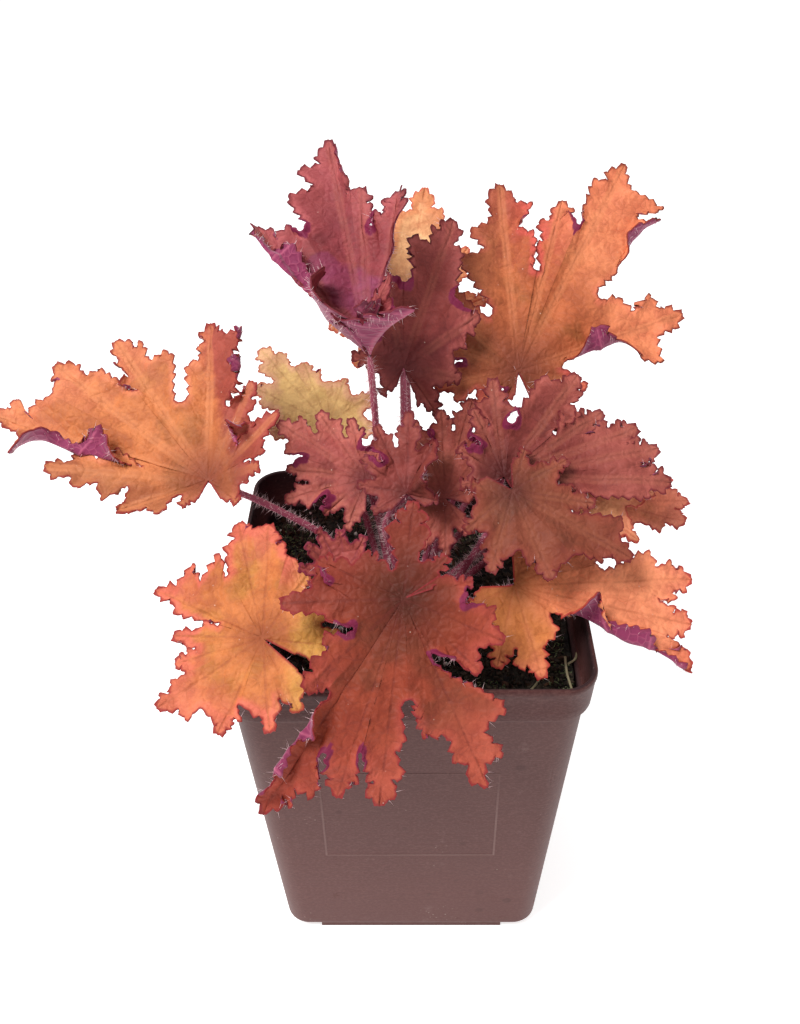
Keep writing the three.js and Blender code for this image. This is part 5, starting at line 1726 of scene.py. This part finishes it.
def with_hairs(made, number):
    """Joins a leaf's hairs to it and counts them."""
    mesh = made.data
    count = len(mesh.vertices)
    kinds = np.empty(len(mesh.polygons), np.int32)
    mesh.polygons.foreach_get("material_index", kinds)
    corners = np.array([face.vertices[0] for face in mesh.polygons])
    edge = np.empty(count, np.float32)
    mesh.attributes["edge"].data.foreach_get("value", edge)
    hairy = np.zeros(count, np.float32)
    hairy[corners[kinds == 1]] = HAIR["under"]
    hairy[corners[(kinds == 1) & (edge[corners] < HAIR["margin_reach"])]] = HAIR["margin"]
    hairy[corners[kinds == 2]] = 1.0
    keep_fact(mesh, "hairy", hairy)
    down = copy_of(made)
    grown_by(down, hair_tree, Density=HAIR["density"], Length=HAIR["length"],
             Seed=SEED + number, Object=one_hair, Material=downy)
    hairs = len(down.data.polygons) // 3
    bpy.ops.object.select_all(action="DESELECT")
    down.select_set(True)
    made.select_set(True)
    bpy.context.view_layer.objects.active = made
    bpy.ops.object.join()
    return hairs


total = sum(with_hairs(made, number) for number, made in enumerate(leaf_pieces.values()))
bpy.data.objects.remove(one_hair)
print(total, "hairs")
for name, made in leaf_pieces.items():
    hold(made, name, name)

# %% [markdown]
# ## The crown and the potting mix
# The stalks grow from a short scaly rootstock. Around it lies a dark open mix: a fine uneven skin
# of peat, crumbs and bark pieces over it, white perlite, a little moss and some dry straw. Bump
# alone would leave the mix as flat as a lid beside the pot's wall, so its skin is a grid with real
# clods, and the bits that lie on it are real too.

# %% Crown
SCALES = {"sides": 72, "levels": 40, "top": 89 * RAD, "lump": 0.08, "rough": 0.35, "period": 4.5}
bark_skin = Finish("rootstock", Specular_IOR_Level=0.25)
scaly = bark_skin.noise(bark_skin.stretch(bark_skin.place(), (160.0, 160.0, 620.0)), 1.0, 4.0)
crown_finish = bark_skin.show(
    Base_Color=bark_skin.mix(scaly, paint(44, 28, 24), paint(112, 70, 58)),
    Roughness=0.8, Normal=bark_skin.bump(scaly, 0.0006, 0.8))
turns, levels = np.meshgrid(np.linspace(0, 2 * math.pi, SCALES["sides"], endpoint=False),
                            np.linspace(-SCALES["top"], SCALES["top"], SCALES["levels"]))
around = np.stack([np.cos(levels) * np.cos(turns), np.cos(levels) * np.sin(turns),
                   np.sin(levels)], axis=-1).reshape(-1, 3)
lump = 1 + SCALES["lump"] * np.sin(3 * around[:, 0] + 5 * around[:, 1]) * np.cos(
    4 * around[:, 2])
rough = SCALES["rough"] * soft_noise(around[:, 0] * 14, around[:, 2] * 20, SCALES["period"])
points = around * (np.array([CROWN["radius"], CROWN["radius"], CROWN["height"] / 2])
                   * lump[:, None] + rough[:, None])
points[:, 2] += CROWN["centre"]
hold(piece_from("rootstock", points, closed_ends(SCALES["levels"], SCALES["sides"]),
                [crown_finish]), "rootstock", "crown")

# %% Potting mix finish
MIX_PAINT = {"peat": (18, 18, 16), "crumb": (72, 64, 52), "algae": (84, 92, 60)}
mix_skin = Finish("potting_mix", Specular_IOR_Level=0.25)
place = mix_skin.place()
clods = mix_skin.noise(place, 260.0, 6.0, 0.7)
damp = mix_skin.noise(place, 45.0, 3.0)
green = mix_skin.step(mix_skin.noise(place, 70.0, 4.0, 0.65), 0.56, 0.7)
colour = mix_skin.coats(
    paint(*MIX_PAINT["peat"]), MIX_PAINT, crumb=mix_skin.step(clods, 0.35, 0.75),
    algae=green * mix_skin.step(clods, 0.4, 0.7) * 0.7)
mix_finish = mix_skin.show(
    Base_Color=colour, Roughness=0.86 - damp * 0.3,
    Normal=mix_skin.bump(clods, 0.0016, 1.0))
print(len(mix_skin.nodes), "nodes in the mix finish")

# %% Potting mix skin
SKIN_GRID = 131
CLODS = {"above": 0.9, "coarse": 0.5, "coarse_period": 9, "fine": 0.45, "fine_period": 3.2}
MIX_GAP = 0.25
CORNER_SQUEEZE = 0.055


def soil_height(x, y):
    """The mix's level: a low mound with slow ripples."""
    mound = SOIL["swell"] * np.exp(-(x * x + y * y) / SOIL["swell_reach"] ** 2)
    return SOIL["top"] + mound + SOIL["ripple"] * np.sin(
        SOIL["along_x"] * x + SOIL["phase"]) * np.cos(SOIL["along_y"] * y + SOIL["skew"] * x)


def waves_of(period, count=7):
    """A fixed rough pattern that can be read at any place."""
    ways = chance.uniform(0, 2 * math.pi, (count, 2))
    rates = 2 * math.pi / (period * chance.uniform(0.6, 1.6, count))

    def read(x, y):
        return sum(np.sin(rate * (x * math.cos(way) + y * math.sin(way)) + phase)
                   for (way, phase), rate in zip(ways, rates)) / count * 2
    return read


coarse, fine = waves_of(CLODS["coarse_period"]), waves_of(CLODS["fine_period"])
mix_half = wall_at(SOIL["top"])[0] - wall - MIX_GAP
gx, gy = np.meshgrid(*[np.linspace(-1, 1, SKIN_GRID)] * 2)
squeeze = 1 - CORNER_SQUEEZE * (np.abs(gx) * np.abs(gy)) ** 5
x, y = (gx * mix_half * squeeze).ravel(), (gy * mix_half * squeeze).ravel()
z = (soil_height(x, y) + CLODS["above"] + CLODS["coarse"] * coarse(x, y)
     + CLODS["fine"] * fine(x, y))
side = np.arange(SKIN_GRID - 1)
a = (side[:, None] * SKIN_GRID + side).ravel()
quads = np.stack([a, a + 1, a + SKIN_GRID + 1, a + SKIN_GRID], axis=-1)
top_piece = piece_from("soil_top", np.stack([x, y, z], axis=-1), quads.tolist(), [mix_finish])
hold(top_piece, "potting_mix")

# %% [markdown]
# One more tree scatters loose bits over the mix: it stands a shape on random spots, turned and
# scaled at random. It serves for crumbs, bark flakes, perlite and moss alike.

# %% Scatter tree
NEARLY_UPRIGHT = 0.35
scatter, start, points = scatter_tree("scatter", "bits", {
    "Density": 1000.0, "Smallest": 0.5, "Largest": 1.5, "Upright": 0.0})
any_way = random_between(scatter, start["Seed"], (0, 0, 0), (FULL_TURN,) * 3)
upright = random_between(scatter, start["Seed"], (-NEARLY_UPRIGHT, -NEARLY_UPRIGHT, 0),
                         (NEARLY_UPRIGHT, NEARLY_UPRIGHT, FULL_TURN))
spin = node_of(scatter, "ShaderNodeMix", {0: start["Upright"], 4: any_way, 5: upright},
               data_type="VECTOR")
size = random_between(scatter, start["Seed"], start["Smallest"], start["Largest"])
copies_on(scatter, start, points, spin.outputs[1], size)

# %% Loose bits
def lump_shape(name, stretch, detail, roughness):
    """A rough pebble one millimetre across."""
    ball = bmesh.new()
    bmesh.ops.create_icosphere(ball, subdivisions=detail, radius=0.5 * MM)
    for vertex in ball.verts:
        swell = 1 + roughness * (chance.random() * 2 - 1)
        vertex.co = Vector([c * s * swell for c, s in zip(vertex.co, stretch)])
    mesh = bpy.data.meshes.new(name)
    ball.to_mesh(mesh)
    ball.free()
    return linked(name, mesh)


def plain_finish(name, dark, light, scale, roughness):
    """Two paints in small blotches."""
    skin = Finish(name, Specular_IOR_Level=0.25)
    pattern = skin.noise(skin.place(), scale, 3.0)
    return skin.show(Base_Color=skin.mix(skin.step(pattern, 0.3, 0.7), paint(*dark),
                                         paint(*light)), Roughness=roughness)


def strewn(name, shape, finish, where, density, smallest, largest, upright, lift, seed):
    """A plain mesh of loose bits over the mix, thick where `where` says so."""
    ground = copy_of(top_piece)
    ground.name = name
    places = np.empty(len(ground.data.vertices) * 3, np.float32)
    ground.data.vertices.foreach_get("co", places)
    places = places.reshape(-1, 3)
    keep_fact(ground.data, "bits", where(places[:, 0] / MM, places[:, 1] / MM))
    places[:, 2] += lift * MM
    ground.data.vertices.foreach_set("co", places.ravel())
    grown_by(ground, scatter, Density=density, Smallest=smallest, Largest=largest,
             Upright=upright, Seed=seed, Object=shape, Material=finish)
    bpy.data.objects.remove(shape)
    hold(ground, "potting_mix")


print("loose bits ready to strew")

# %% Strew the mix
STREWN = {"margin": 1.8, "corner": 9}
MOSS = {"period": 26, "waves": 5, "share": 2, "less": 0.35, "tufts": 1.5, "reach": 36}
MOSS_PLACES = [(30, -45), (44, -41), (14, -6), (8, 4), (-30, -34)]
# Draws that are passed over, so that every bit keeps its shape.
SKIPPED_DRAWS = 15


def inside_pot(x, y):
    """1 where bits may lie, 0 near and past the wall."""
    reach, corner = mix_half - STREWN["margin"], STREWN["corner"]
    return ((np.abs(x) < reach) & (np.abs(y) < reach)
            & (np.hypot(np.maximum(np.abs(x) - reach + corner, 0),
                        np.maximum(np.abs(y) - reach + corner, 0)) < corner)).astype(float)


def mossy(x, y):
    """How thick the moss grows: in waves, and in tufts at its own places."""
    near = sum(np.exp(-((x - u) ** 2 + (y - v) ** 2) / MOSS["reach"]) for u, v in MOSS_PLACES)
    return inside_pot(x, y) * np.clip(
        moss_waves(x, y) * MOSS["share"] - MOSS["less"] + MOSS["tufts"] * near, 0, 1)


moss_waves = waves_of(MOSS["period"], MOSS["waves"])
chance.random(SKIPPED_DRAWS)
dark_bits = plain_finish("crumbs", (16, 16, 14), (84, 72, 58), 420.0, 0.8)
bark_bits = plain_finish("bark", (30, 20, 15), (96, 66, 46), 240.0, 0.75)
white_bits = plain_finish("perlite", (176, 172, 160), (226, 224, 214), 500.0, 0.85)
moss_bits = plain_finish("moss", (74, 90, 54), (150, 162, 118), 300.0, 0.8)
strewn("crumbs", lump_shape("crumb", (1, 0.8, 0.7), 1, 0.35), dark_bits, inside_pot,
       3.8e5, 0.6, 2.5, 0.0, 0.2, SEED)
strewn("bark_pieces", lump_shape("flake", (1.0, 0.5, 0.22), 1, 0.3), bark_bits, inside_pot,
       3.2e4, 2.0, 5.5, 0.8, 0.5, SEED + 1)
strewn("perlite", lump_shape("grain", (1, 0.9, 0.8), 2, 0.18), white_bits, inside_pot,
       4.5e3, 0.6, 1.8, 0.0, 0.6, SEED + 2)
strewn("moss", lump_shape("tuft", (0.34, 0.34, 1.5), 1, 0.3), moss_bits, mossy,
       7e5, 0.5, 1.3, 0.75, 0.4, SEED + 3)

# %% Straw
STRAW = {"radius": 0.42, "squash": 0.6, "sides": 6, "steps": 14}
STRAWS = [
    [(50.4, -30.4, 127.5), (50.2, -37, 127.2), (51.1, -43.5, 126.4)],
    [(51.0, -33.0, 126.8), (53.5, -31, 127.0), (54.6, -27.5, 126.6)],
    [(38, -44, 126.2), (41, -40, 126.6), (42, -35, 126.4)],
    [(-44, -20, 126.4), (-40, -26, 127.4), (-33, -30, 127.0)],
    [(-30, -39, 126.6), (-25, -41, 127.4), (-21, -38, 126.8)],
    [(20, 34, 126.4), (25, 38, 127.2), (33, 37, 126.6)],
]
points, faces = [], []
for places in STRAWS:
    line, ways, _ = stalk_line(places, STRAW["steps"])
    faces += (ring_faces(len(line), STRAW["sides"]) + len(points)).tolist()
    points += tube_round(line, ways, np.cross(ways, [0, 0, 1.0]), STRAW["radius"],
                         STRAW["sides"], STRAW["squash"]).reshape(-1, 3).tolist()
straw_finish = plain_finish("straw", (130, 120, 90), (188, 178, 140), 160.0, 0.6)
hold(piece_from("straws", points, faces, [straw_finish]), "potting_mix")

# %% Body of the mix
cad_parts["soil"].data.materials.clear()
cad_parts["soil"].data.materials.append(mix_finish)
print("the mix's body shows as it is")
